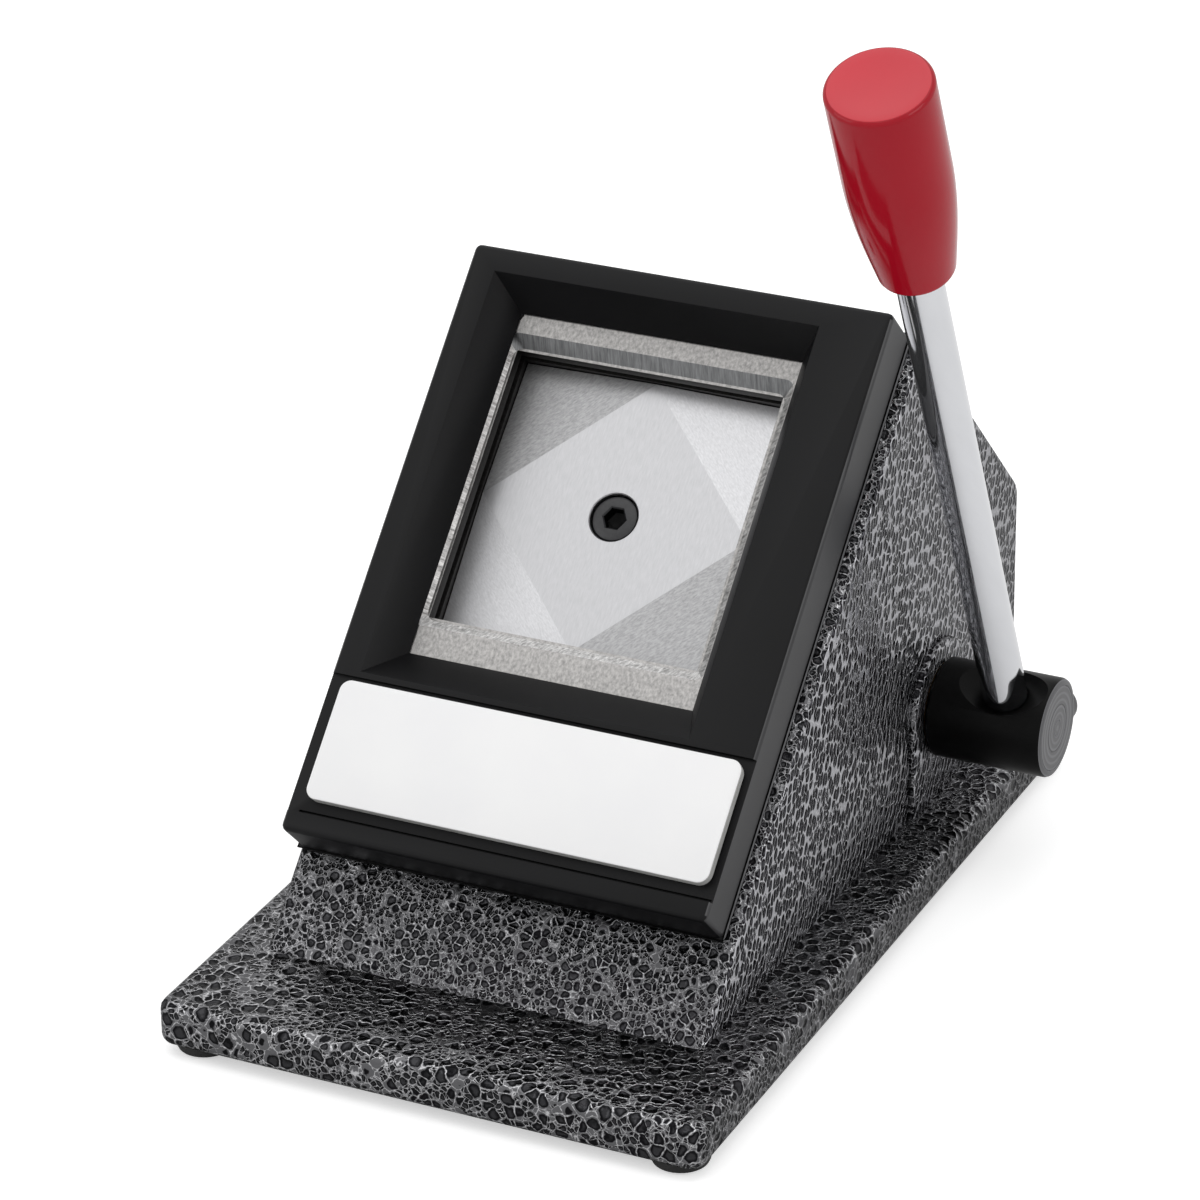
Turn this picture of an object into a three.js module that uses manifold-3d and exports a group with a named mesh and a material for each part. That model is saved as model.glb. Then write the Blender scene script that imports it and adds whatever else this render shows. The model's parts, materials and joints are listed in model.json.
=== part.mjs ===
// Passport photo cutter: a lever press that punches a 51 mm square print through a steel die.
// Lengths are in millimetres, angles in degrees. X runs to the lever side, Y to the back, Z up.

import * as THREE from 'three';
import { mergeVertices } from 'three/addons/utils/BufferGeometryUtils.js';
import Module from 'manifold-3d';

const wasm = await Module();
wasm.setup();

// Clearances
const SEAT = 0.3; // between faces that rest on each other on the slope
const FIT = 0.2; // round a pin, screw or spigot in its hole, per side
const RUN = 0.08; // round a shaft or post in its bushes, per side
const PUNCH_CLEAR = 0.1; // round the punch in the die, per side

// Body casting
const FACE_TILT = 45; // slope of the front face
const FACE_LENGTH = 130; // foot of the front face to its top edge, along the slope
const BODY_WIDTH = 82;
const BODY_DEPTH = 139.6;
const WALL = 4.5;
const FRONT_WALL = 5;
const BODY_ROUND = 1.5; // along the edges of both sides
const BODY_CORNER = 2; // across the body, at its top and back
const BOSS_RADIUS = 12.5; // arched boss round the shaft, outside
const BOSS_PROUD = 1;
const BOSS_INSIDE = 3.5; // how far the same boss stands into the hollow
const SCREW_BOSS_RADIUS = 4.5;
const SCREW_BOSS_HEIGHT = 14;
const SCREW_BOSS_FROM_SIDE = 7.5;
const SCREW_BOSS_FROM_FRONT = 24;
const SCREW_BOSS_FROM_BACK = 13;

// Base plate and feet
const BASE_WIDTH = 100.6;
const BASE_THICK = 8.2;
const BASE_SHIFT = 0.9; // the plate reaches further out under the lever
const BASE_FRONT = 23.5; // how far it reaches in front of the body
const BASE_REAR = 1;
const BASE_CORNER = 3;
const BASE_ROUND = 1.8;
const FOOT_RADIUS = 5;
const FOOT_HEIGHT = 1.8;
const FOOT_INSET = 6.2;
const FOOT_RECESS_RADIUS = 3.2;
const FOOT_RECESS = 1.1;

// Cutting opening, measured along the slope
const APERTURE = 51; // a 2 inch square print
const APERTURE_X = -5.8;
const APERTURE_V = 89; // centre, from the foot of the slope
const LEDGE = 0.5; // flat rim round the opening
const BEVEL_RUN = 1.9; // milled bevel outside the rim
const BEVEL_DEPTH = 2.5;
const BEVEL_CORNER = 3;

// Bezel and name plate
const BEZEL_WIDTH = 80;
const BEZEL_X = -0.9;
const BEZEL_TOP_GAP = 0.4; // below the top edge of the body
const BEZEL_TOP = 10.35; // front face above the slope
const BEZEL_ROUND = 0.8;
const SIGHT_LEFT = 0.1; // what the bezel leaves of the die plate, round the opening
const SIGHT_RIGHT = 2.6;
const SIGHT_BELOW = 7.8;
const SIGHT_ABOVE = 5.9;
const FLARE_SIDE = 4.05; // how far the bezel's window opens out to the front
const FLARE_BELOW = 7.05;
const FLARE_ABOVE = 4.25;
const WINDOW_BAR = 1.05; // between the window and the name plate's recess
const LABEL_RECESS = 0.8;
const LABEL_RECESS_BOTTOM = 3.9; // above the bezel's lower edge
const LABEL_RECESS_LENGTH = 25.3;
const LABEL_SIDE = 2.5; // from the bezel's sides
const LABEL_LENGTH = 21.8;
const LABEL_THICK = 2.2;
const LABEL_ABOVE = 2.4; // above the lower edge of its recess
const LABEL_CORNER = 3;
const BEZEL_SCREW_INSET = 12; // from the bezel's sides
const BEZEL_SCREW_DOWN = 9.1; // below the die set's pocket

// Die set
const DIE_PROUD = 2.6; // die plate's face above the slope
const DIE_THICK = 4.8;
const PRINT_SLOT = 1; // spacer that leaves the slot for the print
const SLOT_WIDTH = 60;
const SLOT_STOP = 2.3; // the print stops this far past the opening
const SLOT_MOUTH = 1.2; // bevelled lead-in at the side of the body
const GUIDE_THICK = 6;
const POCKET_WALL_LEFT = 2.7; // body wall left beside the die set's pocket
const POCKET_WALL_RIGHT = 4.7;
const POCKET_WALL_TOP = 4.7;
const POCKET_WALL_BELOW = 18.8; // from the opening down to the pocket's lower edge
const SHELF_THICK = 4.2; // shelf under the die set
const SHELF_SIDE = 2.6; // its opening, left of the punch's way
const SHELF_ABOVE = 6.8; // and above it
const LUG_SIDE = 8.6; // corner lugs that take its screws
const LUG_ALONG = 8.6;
const STEP_WALL = 4.7; // wall below the pocket
const DIE_SCREW_INSET = 4.4; // from the pocket's edges

// Punch and ram
const PUNCH_SINK = 4.4; // punch face below the slope at rest
const PUNCH_HEIGHT = 24;
const FACET_DROP = 1; // ground corners of the punch face
const RAM_THICK = 8;
const RAM_CORNER = 4;
const RAM_MARGIN = 6.5; // plate round a guide post
const STEM_RADIUS = 10;
const PAD_RADIUS = 12;
const PAD_THICK = 3;
const PAD_SPIGOT_RADIUS = 4;
const PAD_SPIGOT = 4;

// Guide posts and return springs
const POST_RADIUS = 3;
const POST_HEAD_RADIUS = 4.4;
const POST_HEAD = 2;
const POST_A_SIDE = 6.3; // first post, beside the punch
const POST_A_UP = 15;
const POST_B_SIDE = -14.2; // second post, below the punch
const POST_B_BELOW = 8.1;
const POST_END = 3.4; // below the ram at rest
const CLIP_THICK = 1;
const CLIP_RIM = 1.8;
const RAM_BUSH_WALL = 1.4;
const WIRE_RADIUS = 0.7;
const SPRING_RADIUS = 4.6; // to the middle of the wire
const SPRING_TURNS = 7;

// Shaft and cam
const SHAFT_DEPTH = 58.8; // axis below the slope
const SHAFT_OFFSET = 5.7; // axis below the middle of the opening, along the slope
const SHAFT_RADIUS = 6;
const SHAFT_END_RADIUS = 5; // where the hub sits
const SHAFT_TAIL = 1.8; // past the clip on the far side
const CAM_THROW = 8;
const CAM_RADIUS = 15.5;
const CAM_WIDTH = 12;
const CAM_ROOM = 1.5; // kept free round the cam, over the base plate
const CAM_REST = -30; // crank angle at rest, from the slope
const KEY_WIDTH = 4;
const KEY_DEPTH = 2.3; // in the shaft
const KEY_RISE = 1.7; // in the cam
const SPACER_WALL = 2;
const BUSH_WALL = 2;
const BUSH_FLANGE = 2; // flange beyond the bush
const BUSH_FLANGE_THICK = 1.5;
const WASHER_THICK = 1;

// Lever
const LEVER_LEAN = 24.4; // forwards of upright at rest
const HUB_RADIUS = 9;
const HUB_LENGTH = 21.8;
const HUB_CHAMFER = 0.6;
const HUB_FLOOR = 2.4; // closed outer end of the hub
const ROD_ALONG_HUB = 12.9;
const ROD_RADIUS = 4;
const ROD_SHOULDER = 6.5; // above the shaft axis
const ROD_TENON_RADIUS = 3;
const ROD_TENON_END = -3;
const DISH_RADIUS = 8.2; // drilled dish that the rod stands in
const DISH_ANGLE = 118;
const LOCK_SCREW_FROM_END = 4.1;
const LOCK_SCREW_ANGLE = -8; // from straight back
const GRIP_FROM = 113.7; // above the shaft axis
const GRIP_WAIST = 136; // where it reaches its full radius
const GRIP_TO = 154.7;
const GRIP_RADIUS = 9;
const GRIP_FOOT_RADIUS = 6.6;
const GRIP_ROUND = 0.9;
const GRIP_BORE = 30;

// Screws: radius of the shank, radius and height of the head, length under the head
const BASE_SCREW = { shank: 2, head: 4, rise: 2.3, length: 12, socket: 1.25 };
const BEZEL_SCREW = { shank: 2, head: 3.8, rise: 2.2, length: 11.5, socket: 1.25 };
const DIE_SCREW = { shank: 1.5, head: 2.8, rise: 1.6, length: 13.3, socket: 1 };
const FOOT_SCREW = { shank: 1.5, head: 2.8, rise: 0.7, length: 6.5, socket: 1 };
const PUNCH_SCREW = { shank: 2.5, head: 4.25, rise: 5, socket: 2 };
const PUNCH_SCREW_ROOM = 5.1; // from its end to the pad's spigot, which sets its length
const LOCK_SCREW = { shank: 2, head: 3.3, rise: 4.2, length: 3.2, socket: 1.5 };

// Facets round a turned piece
const FINE = 48;
const MEDIUM = 32;
const COARSE = 20;

// Finishes
const finish = (color, roughness, metalness) =>
  new THREE.MeshStandardMaterial({ color, roughness, metalness });
const HAMMERTONE = finish(0x3a3a3c, 0.5, 0.3);
const BLACK_PLASTIC = finish(0x2b2c2e, 0.55, 0);
const WHITE_PLASTIC = finish(0xeeeeee, 0.6, 0);
const MILLED_STEEL = finish(0xa9a8a4, 0.38, 1);
const GROUND_STEEL = finish(0xc4c4c6, 0.32, 1);
const BLACK_SCREW = finish(0x1c1c1e, 0.4, 0.7);
const ZINC_SCREW = finish(0xb0b2b4, 0.35, 1);
const BRONZE = finish(0xa07a3c, 0.4, 1);
const SPRING_STEEL = finish(0x8d9094, 0.35, 1);
const BLACK_OXIDE = finish(0x161617, 0.35, 0.6);
const CHROME = finish(0xdcdde0, 0.08, 1);
const RED_GRIP = finish(0xb3202e, 0.25, 0);
const RUBBER = finish(0x141414, 0.85, 0);

// Solids: joining and cutting

function solid(shape) {
  if (!shape.isBufferGeometry) return shape;
  const bare = shape.clone();
  bare.deleteAttribute('normal');
  bare.deleteAttribute('uv');
  const merged = mergeVertices(bare, 1e-4);
  const corners = [];
  const index = merged.index.array;
  for (let i = 0; i < index.length; i += 3) {
    const [a, b, c] = [index[i], index[i + 1], index[i + 2]];
    if (a !== b && b !== c && c !== a) corners.push(a, b, c);
  }
  const mesh = new wasm.Mesh({
    numProp: 3,
    vertProperties: new Float32Array(merged.attributes.position.array),
    triVerts: new Uint32Array(corners),
  });
  return new wasm.Manifold(mesh);
}

const join = (first, ...others) => others.reduce((sum, one) => sum.add(solid(one)), solid(first));
const cut = (first, ...tools) => tools.reduce((rest, one) => rest.subtract(solid(one)), solid(first));

function geometryOf(shape) {
  const mesh = solid(shape).getMesh();
  const geometry = new THREE.BufferGeometry();
  geometry.setAttribute('position', new THREE.BufferAttribute(new Float32Array(mesh.vertProperties), 3));
  geometry.setIndex(new THREE.BufferAttribute(new Uint32Array(mesh.triVerts), 1));
  geometry.computeVertexNormals();
  return geometry;
}

function piece(parent, name, shape, material) {
  const mesh = new THREE.Mesh(geometryOf(shape), material);
  mesh.name = name;
  parent.add(mesh);
  return mesh;
}

// Shapes: blocks, plates, tapers and turned pieces

const degrees = THREE.MathUtils.degToRad;

function block(x0, x1, y0, y1, z0, z1) {
  const geometry = new THREE.BoxGeometry(x1 - x0, y1 - y0, z1 - z0);
  return geometry.translate((x0 + x1) / 2, (y0 + y1) / 2, (z0 + z1) / 2);
}

// A convex or hollow-cornered outline whose corners are turned into arcs of one radius
function roundedOutline(corners, radius, steps = 4) {
  const outline = [];
  corners.forEach((corner, i) => {
    const here = new THREE.Vector2(...corner);
    const before = new THREE.Vector2(...corners[(i + corners.length - 1) % corners.length]).sub(here);
    const after = new THREE.Vector2(...corners[(i + 1) % corners.length]).sub(here);
    before.normalize();
    after.normalize();
    const half = Math.acos(before.dot(after)) / 2;
    const back = radius / Math.tan(half);
    const centre = before.clone().add(after).normalize().multiplyScalar(radius / Math.sin(half)).add(here);
    const start = before.clone().multiplyScalar(back).add(here).sub(centre);
    const end = after.clone().multiplyScalar(back).add(here).sub(centre);
    const sweep = Math.atan2(start.x * end.y - start.y * end.x, start.dot(end));
    for (let k = 0; k <= steps; k += 1) {
      const point = start.clone().rotateAround(new THREE.Vector2(), (sweep * k) / steps);
      outline.push(point.add(centre));
    }
  });
  return outline;
}

const rectangle = (x0, x1, y0, y1) => [[x0, y0], [x1, y0], [x1, y1], [x0, y1]];
const roundedRectangle = (x0, x1, y0, y1, radius, steps) =>
  roundedOutline(rectangle(x0, x1, y0, y1), radius, steps);

// A plate of one outline between two heights, with both its edges rounded over
function plate(outline, z0, z1, round = 0, segments = 2) {
  const geometry = new THREE.ExtrudeGeometry(new THREE.Shape(outline), {
    depth: z1 - z0 - 2 * round,
    bevelEnabled: round > 0,
    bevelThickness: round,
    bevelSize: round,
    bevelOffset: -round,
    bevelSegments: segments,
  });
  return geometry.translate(0, 0, z0 + round);
}

// A straight-sided body between two convex outlines of as many points
function taper(lower, z0, upper, z1) {
  const count = lower.length;
  const points = [...lower.map((p) => [p.x, p.y, z0]), ...upper.map((p) => [p.x, p.y, z1])];
  const corners = [];
  for (let i = 0; i < count; i += 1) {
    const next = (i + 1) % count;
    corners.push(i, next, count + next, i, count + next, count + i);
    if (i > 1) corners.push(0, i, i - 1, count, count + i - 1, count + i);
  }
  const geometry = new THREE.BufferGeometry();
  geometry.setAttribute('position', new THREE.Float32BufferAttribute(points.flat(), 3));
  geometry.setIndex(corners);
  return geometry;
}

// Turned pieces: the profile is a list of [radius, height] that starts and ends on the axis or closes
function turned(profile, sides = MEDIUM) {
  const points = profile.map(([radius, height]) => new THREE.Vector2(radius, height));
  return new THREE.LatheGeometry(points, sides).rotateX(Math.PI / 2);
}

const rod = (radius, z0, z1, sides) =>
  turned([[0, z0], [radius, z0], [radius, z1], [0, z1]], sides);
const tube = (inner, outer, z0, z1, sides) =>
  turned([[inner, z0], [outer, z0], [outer, z1], [inner, z1], [inner, z0]], sides);

// From the axis of a turned piece to the axis of the shaft, and out from the shaft at an angle
const alongX = (geometry) => geometry.rotateY(Math.PI / 2);
const outwards = (geometry, angle) => geometry.rotateX(degrees(angle - 90));

// An outline drawn in Y and Z, carried along X
function sideways(outline, x0, x1, round = 0) {
  const turn = new THREE.Matrix4().makeBasis(
    new THREE.Vector3(0, 1, 0), new THREE.Vector3(0, 0, 1), new THREE.Vector3(1, 0, 0));
  return plate(outline, x0, x1, round).applyMatrix4(turn);
}

// Screws stand upright with the top of the head at zero; the hole is the same shape, a little wider
function sunkScrew(kind, grow = 0) {
  const { shank, head, rise, length } = kind;
  const end = -rise - length - grow;
  const profile = [[0, end], [shank + grow, end], [shank + grow, -rise - grow], [head + grow, -grow]];
  return turned([...profile, [head + grow, grow], [0, grow]], COARSE);
}

function capScrew(kind, grow = 0) {
  const { shank, head, rise, length } = kind;
  const end = -rise - length - grow;
  const profile = [[0, end], [shank + grow, end], [shank + grow, -rise - grow], [head + grow, -rise - grow]];
  return turned([...profile, [head + grow, grow], [0, grow]], COARSE);
}

const hexSocket = (kind, depth) => rod(kind.socket / Math.cos(Math.PI / 6), -depth, 1, 6);
const socketed = (shape, kind) => cut(shape, hexSocket(kind, kind.rise * 0.55));

// A snap ring: flat, open on one side
function snapRing(inner, outer, z0, z1) {
  const gap = inner * 0.62;
  return cut(tube(inner, outer, z0, z1, COARSE), block(-gap, gap, 0, outer * 1.2, z0 - 1, z1 + 1));
}

// The sloping face: X across, V up the slope, N out of it

const tilt = degrees(FACE_TILT);
const onSlope = (v, n) => [v * Math.cos(tilt) - n * Math.sin(tilt), v * Math.sin(tilt) + n * Math.cos(tilt)];
const slopeTurn = new THREE.Matrix4().makeRotationX(tilt);

const machine = new THREE.Group();
const slope = new THREE.Group();
slope.rotation.x = tilt;
machine.add(slope);

// Places worked out from the driving dimensions

const half = BODY_WIDTH / 2;
const inside = half - WALL;

const openLeft = APERTURE_X - APERTURE / 2;
const openRight = APERTURE_X + APERTURE / 2;
const openBottom = APERTURE_V - APERTURE / 2;
const openTop = APERTURE_V + APERTURE / 2;

const dieTop = DIE_PROUD;
const dieBottom = dieTop - DIE_THICK;
const slotTop = dieBottom - SEAT;
const slotBottom = slotTop - PRINT_SLOT;
const guideTop = slotBottom - SEAT;
const guideBottom = guideTop - GUIDE_THICK;
const shelfTop = guideBottom - SEAT;
const shelfBottom = shelfTop - SHELF_THICK;

const pocketLeft = -half + POCKET_WALL_LEFT;
const pocketRight = half - POCKET_WALL_RIGHT;
const pocketTop = FACE_LENGTH - POCKET_WALL_TOP;
const pocketBottom = openBottom - POCKET_WALL_BELOW;
const dieOutline = [pocketLeft + SEAT, pocketRight - SEAT, pocketBottom + SEAT, pocketTop - SEAT];

const dieScrewPlaces = [];
for (const x of [pocketLeft + DIE_SCREW_INSET, pocketRight - DIE_SCREW_INSET]) {
  for (const v of [pocketBottom + DIE_SCREW_INSET, pocketTop - DIE_SCREW_INSET]) dieScrewPlaces.push([x, v]);
}

const punchHalf = APERTURE / 2 - PUNCH_CLEAR;
const punchTop = -PUNCH_SINK;
const punchBottom = punchTop - PUNCH_HEIGHT;
const ramTop = punchBottom - SEAT;
const ramBottom = ramTop - RAM_THICK;

const posts = [
  { name: 'side', x: openRight + POST_A_SIDE, v: APERTURE_V + POST_A_UP },
  { name: 'lower', x: APERTURE_X + POST_B_SIDE, v: openBottom - POST_B_BELOW },
];
const springOut = SPRING_RADIUS + WIRE_RADIUS;

const shaftV = APERTURE_V - SHAFT_OFFSET;
const shaftN = -SHAFT_DEPTH;
const [shaftY, shaftZ] = onSlope(shaftV, shaftN);
const camLow = shaftN + CAM_THROW * Math.sin(degrees(CAM_REST));
const padBottom = camLow + CAM_RADIUS + SEAT;
const padTop = padBottom + PAD_THICK;
const camAngle = FACE_TILT + CAM_REST;
const camLeft = APERTURE_X - CAM_WIDTH / 2;
const camRight = APERTURE_X + CAM_WIDTH / 2;

const slotLow = APERTURE_V - SLOT_WIDTH / 2;
const slotHigh = APERTURE_V + SLOT_WIDTH / 2;

const bossFace = half + BOSS_PROUD;
const bossInner = inside - BOSS_INSIDE;
const bushOuter = SHAFT_RADIUS + RUN + BUSH_WALL;

const bodyScrewPlaces = [];
for (const side of [-1, 1]) {
  for (const y of [SCREW_BOSS_FROM_FRONT, BODY_DEPTH - SCREW_BOSS_FROM_BACK]) {
    bodyScrewPlaces.push([side * (half - SCREW_BOSS_FROM_SIDE), y]);
  }
}

const baseLeft = BASE_SHIFT - BASE_WIDTH / 2;
const baseRight = BASE_SHIFT + BASE_WIDTH / 2;
const footPlaces = [];
for (const x of [baseLeft + FOOT_INSET, baseRight - FOOT_INSET]) {
  for (const y of [-BASE_FRONT + FOOT_INSET, BODY_DEPTH + BASE_REAR - FOOT_INSET]) footPlaces.push([x, y]);
}
const corner = ([x, y]) => `${y < BODY_DEPTH / 2 ? 'front' : 'rear'}_${x < 0 ? 'left' : 'right'}`;

// Base plate, its feet and the screws up into the body

function basePlate() {
  const outline = roundedRectangle(
    baseLeft, baseRight, -BASE_FRONT, BODY_DEPTH + BASE_REAR, BASE_CORNER, 3);
  const holes = bodyScrewPlaces.map(([x, y]) => bodyScrew(FIT).translate(x, y, 0));
  const taps = footPlaces.map(([x, y]) => footScrew(FIT).translate(x, y, 0));
  return cut(plate(outline, -BASE_THICK, 0, BASE_ROUND), ...holes, ...taps, camRelief());
}

// The cam is lowest at rest: a shaft set lower than now has the cam dip into a groove of the base plate
const camRelief = () => {
  const [out, up] = [Math.cos(degrees(camAngle)), Math.sin(degrees(camAngle))];
  return alongX(rod(CAM_RADIUS + CAM_ROOM, camLeft - CAM_ROOM, camRight + CAM_ROOM, FINE))
    .translate(0, shaftY + CAM_THROW * out, shaftZ + CAM_THROW * up);
};

const bodyScrew = (grow) =>
  sunkScrew(BASE_SCREW, grow).rotateX(Math.PI).translate(0, 0, -BASE_THICK);
const footScrewTop = -BASE_THICK - FOOT_HEIGHT + FOOT_RECESS - FOOT_SCREW.rise;
const footScrew = (grow) => capScrew(FOOT_SCREW, grow).rotateX(Math.PI).translate(0, 0, footScrewTop);

function foot() {
  const bottom = -BASE_THICK - FOOT_HEIGHT;
  const hole = FOOT_SCREW.shank + FIT;
  const floor = bottom + FOOT_RECESS;
  return turned([
    [hole, -BASE_THICK], [hole, floor], [FOOT_RECESS_RADIUS, floor], [FOOT_RECESS_RADIUS, bottom],
    [FOOT_RADIUS - 0.5, bottom], [FOOT_RADIUS, bottom + 0.5], [FOOT_RADIUS, -BASE_THICK],
    [hole, -BASE_THICK],
  ], COARSE);
}

piece(machine, 'base_plate', basePlate(), HAMMERTONE);
for (const place of footPlaces) {
  piece(machine, `foot_${corner(place)}`, foot(), RUBBER).position.set(...place, 0);
  const drop = socketed(capScrew(FOOT_SCREW), FOOT_SCREW).rotate([180, 0, 0]).translate([0, 0, footScrewTop]);
  piece(machine, `foot_screw_${corner(place)}`, drop, ZINC_SCREW).position.set(...place, 0);
}
for (const place of bodyScrewPlaces) {
  const screw = socketed(sunkScrew(BASE_SCREW), BASE_SCREW)
    .rotate([180, 0, 0]).translate([0, 0, -BASE_THICK]);
  piece(machine, `body_screw_${corner(place)}`, screw, BLACK_SCREW).position.set(...place, 0);
}

// Body casting: a hollow wedge, open below, with a pocket for the die set

function bodyCasting() {
  const below = -6;
  const [apexY, apexZ] = onSlope(FACE_LENGTH, 0);
  const [, backZ] = onSlope(FACE_LENGTH, (FACE_LENGTH * Math.cos(tilt) - BODY_DEPTH) / Math.sin(tilt));
  const toeY = below / Math.tan(tilt);
  const outer = roundedOutline(
    [[toeY, below], [BODY_DEPTH, below], [BODY_DEPTH, backZ], [apexY, apexZ]], BODY_CORNER, 3);
  let body = solid(sideways(outer, -half, half, BODY_ROUND));

  const innerV = FACE_LENGTH - WALL;
  const innerBack = BODY_DEPTH - WALL;
  const stepV = pocketBottom - STEP_WALL;
  const toeV = (below + FRONT_WALL * Math.cos(tilt)) / Math.sin(tilt);
  const [, innerBackZ] = onSlope(innerV, (innerV * Math.cos(tilt) - innerBack) / Math.sin(tilt));
  const hollow = [
    onSlope(toeV, -FRONT_WALL), [innerBack, below], [innerBack, innerBackZ],
    onSlope(innerV, shelfBottom), onSlope(stepV, shelfBottom), onSlope(stepV, -FRONT_WALL),
  ].map(([y, z]) => new THREE.Vector2(y, z));
  body = cut(body, sideways(hollow, -inside, inside));

  const arch = [-BOSS_RADIUS, BOSS_RADIUS].map((out) => new THREE.Vector2(shaftY + out, below));
  for (let k = 0; k <= FINE / 2; k += 1) {
    const turn = (k / (FINE / 2)) * Math.PI;
    arch.push(new THREE.Vector2(BOSS_RADIUS, 0).rotateAround(new THREE.Vector2(), turn)
      .add(new THREE.Vector2(shaftY, shaftZ)));
  }
  for (const side of [-1, 1]) {
    const [x0, x1] = [side * bossInner, side * bossFace].sort((a, b) => a - b);
    body = join(body, sideways(arch, x0, x1));
  }
  for (const [x, y] of bodyScrewPlaces) {
    body = join(body, rod(SCREW_BOSS_RADIUS, below, SCREW_BOSS_HEIGHT, COARSE).translate(x, y, 0));
  }

  const shaftBore = alongX(rod(bushOuter + RUN, -2 * half, 2 * half, FINE)).translate(0, shaftY, shaftZ);
  const screwHoles = bodyScrewPlaces.map(([x, y]) => bodyScrew(FIT).translate(x, y, 0));
  const floor = block(-2 * half, 2 * half, -BODY_DEPTH, 2 * BODY_DEPTH, 2 * below, 0);
  return cut(body, shaftBore, ...screwHoles, floor, ...slopeCuts().map((one) => one.applyMatrix4(slopeTurn)));
}

// What is cut into the sloping face: pocket, way for the ram, print slot and screw holes
function slopeCuts() {
  const out = 5;
  const left = openLeft - SHELF_SIDE;
  const right = posts[0].x + springOut + 1;
  const bottom = posts[1].v - springOut - 1;
  const top = openTop + SHELF_ABOVE;
  const cuts = [
    block(pocketLeft, pocketRight, pocketBottom, pocketTop, shelfTop, out),
    block(-half - out, pocketLeft + 1, slotLow, slotHigh, guideTop, dieBottom),
    slotMouth(),
  ];
  const lugLeft = pocketLeft + LUG_SIDE;
  const lugRight = pocketRight - LUG_SIDE;
  const lugBottom = pocketBottom + LUG_ALONG;
  const lugTop = pocketTop - LUG_ALONG;
  cuts.push(block(lugLeft, lugRight, bottom, top, shelfBottom - 1, shelfTop + 1));
  cuts.push(block(left, right, lugBottom, lugTop, shelfBottom - 1, shelfTop + 1));
  for (const [x, v] of dieScrewPlaces) cuts.push(sunkScrew(DIE_SCREW, FIT).translate(x, v, dieTop));
  for (const x of bezelScrewPlaces) {
    cuts.push(sunkScrew(BEZEL_SCREW, FIT).translate(x, bezelScrewV, recessFloor));
  }
  return cuts;
}

// The slot's mouth opens out to the left side of the body
function slotMouth() {
  const at = (grow) => roundedRectangle(
    guideTop - grow, dieBottom + grow, slotLow - grow, slotHigh + grow, 0.4, 2);
  return taper(at(0), half - SLOT_MOUTH, at(2 * SLOT_MOUTH), half + SLOT_MOUTH).rotateY(-Math.PI / 2);
}

// Bezel, name plate and the screws under it

const recessFloor = BEZEL_TOP - LABEL_RECESS;
const recessHigh = openBottom - SIGHT_BELOW - FLARE_BELOW - WINDOW_BAR;
const recessLow = recessHigh - LABEL_RECESS_LENGTH;
const bezelLow = recessLow - LABEL_RECESS_BOTTOM;
const labelHalf = BEZEL_WIDTH / 2 - LABEL_SIDE;
const labelLow = recessLow + LABEL_ABOVE;
const bezelScrewV = pocketBottom - BEZEL_SCREW_DOWN;
const bezelScrewPlaces = [BEZEL_SCREW_INSET - BEZEL_WIDTH / 2, BEZEL_WIDTH / 2 - BEZEL_SCREW_INSET];

function bezel() {
  const left = BEZEL_X - BEZEL_WIDTH / 2;
  const right = BEZEL_X + BEZEL_WIDTH / 2;
  const top = FACE_LENGTH - BEZEL_TOP_GAP;
  const outline = roundedRectangle(left, right, bezelLow, top, 1.2, 3);
  const nest = dieTop + SEAT;
  const sight = [
    openLeft - SIGHT_LEFT, openRight + SIGHT_RIGHT, openBottom - SIGHT_BELOW, openTop + SIGHT_ABOVE];
  const reach = (BEZEL_TOP + 1 - nest) / (BEZEL_TOP - nest);
  const flared = [
    sight[0] - FLARE_SIDE * reach, sight[1] + FLARE_SIDE * reach,
    sight[2] - FLARE_BELOW * reach, sight[3] + FLARE_ABOVE * reach];
  const corners = ([x0, x1, v0, v1]) => rectangle(x0, x1, v0, v1).map((p) => new THREE.Vector2(...p));
  const holes = bezelScrewPlaces.map((x) =>
    sunkScrew(BEZEL_SCREW, FIT).translate(x, bezelScrewV, recessFloor));
  return cut(
    plate(outline, SEAT, BEZEL_TOP, BEZEL_ROUND),
    block(pocketLeft, pocketRight, pocketBottom, pocketTop, -1, nest),
    taper(corners(sight), nest, corners(flared), BEZEL_TOP + 1),
    block(...sight, -1, nest + 0.01),
    block(left - 1, right + 1, recessLow, recessHigh, recessFloor, BEZEL_TOP + 1),
    ...holes);
}

function namePlate() {
  const outline = roundedRectangle(
    -labelHalf, labelHalf, labelLow, labelLow + LABEL_LENGTH, LABEL_CORNER);
  return plate(outline, recessFloor + SEAT, recessFloor + LABEL_THICK, 0.3, 1);
}

piece(slope, 'bezel', bezel(), BLACK_PLASTIC);
piece(slope, 'name_plate', namePlate(), WHITE_PLASTIC);
for (const x of bezelScrewPlaces) {
  const screw = socketed(sunkScrew(BEZEL_SCREW), BEZEL_SCREW);
  piece(slope, `bezel_screw_${x < 0 ? 'left' : 'right'}`, screw, BLACK_SCREW)
    .position.set(x, bezelScrewV, recessFloor);
}
piece(machine, 'body_casting', bodyCasting(), HAMMERTONE);

// Die set: die plate, spacer that leaves the print slot, and guide plate

const dieScrewHoles = () => dieScrewPlaces.map(([x, v]) => sunkScrew(DIE_SCREW, FIT).translate(x, v, dieTop));

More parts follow.
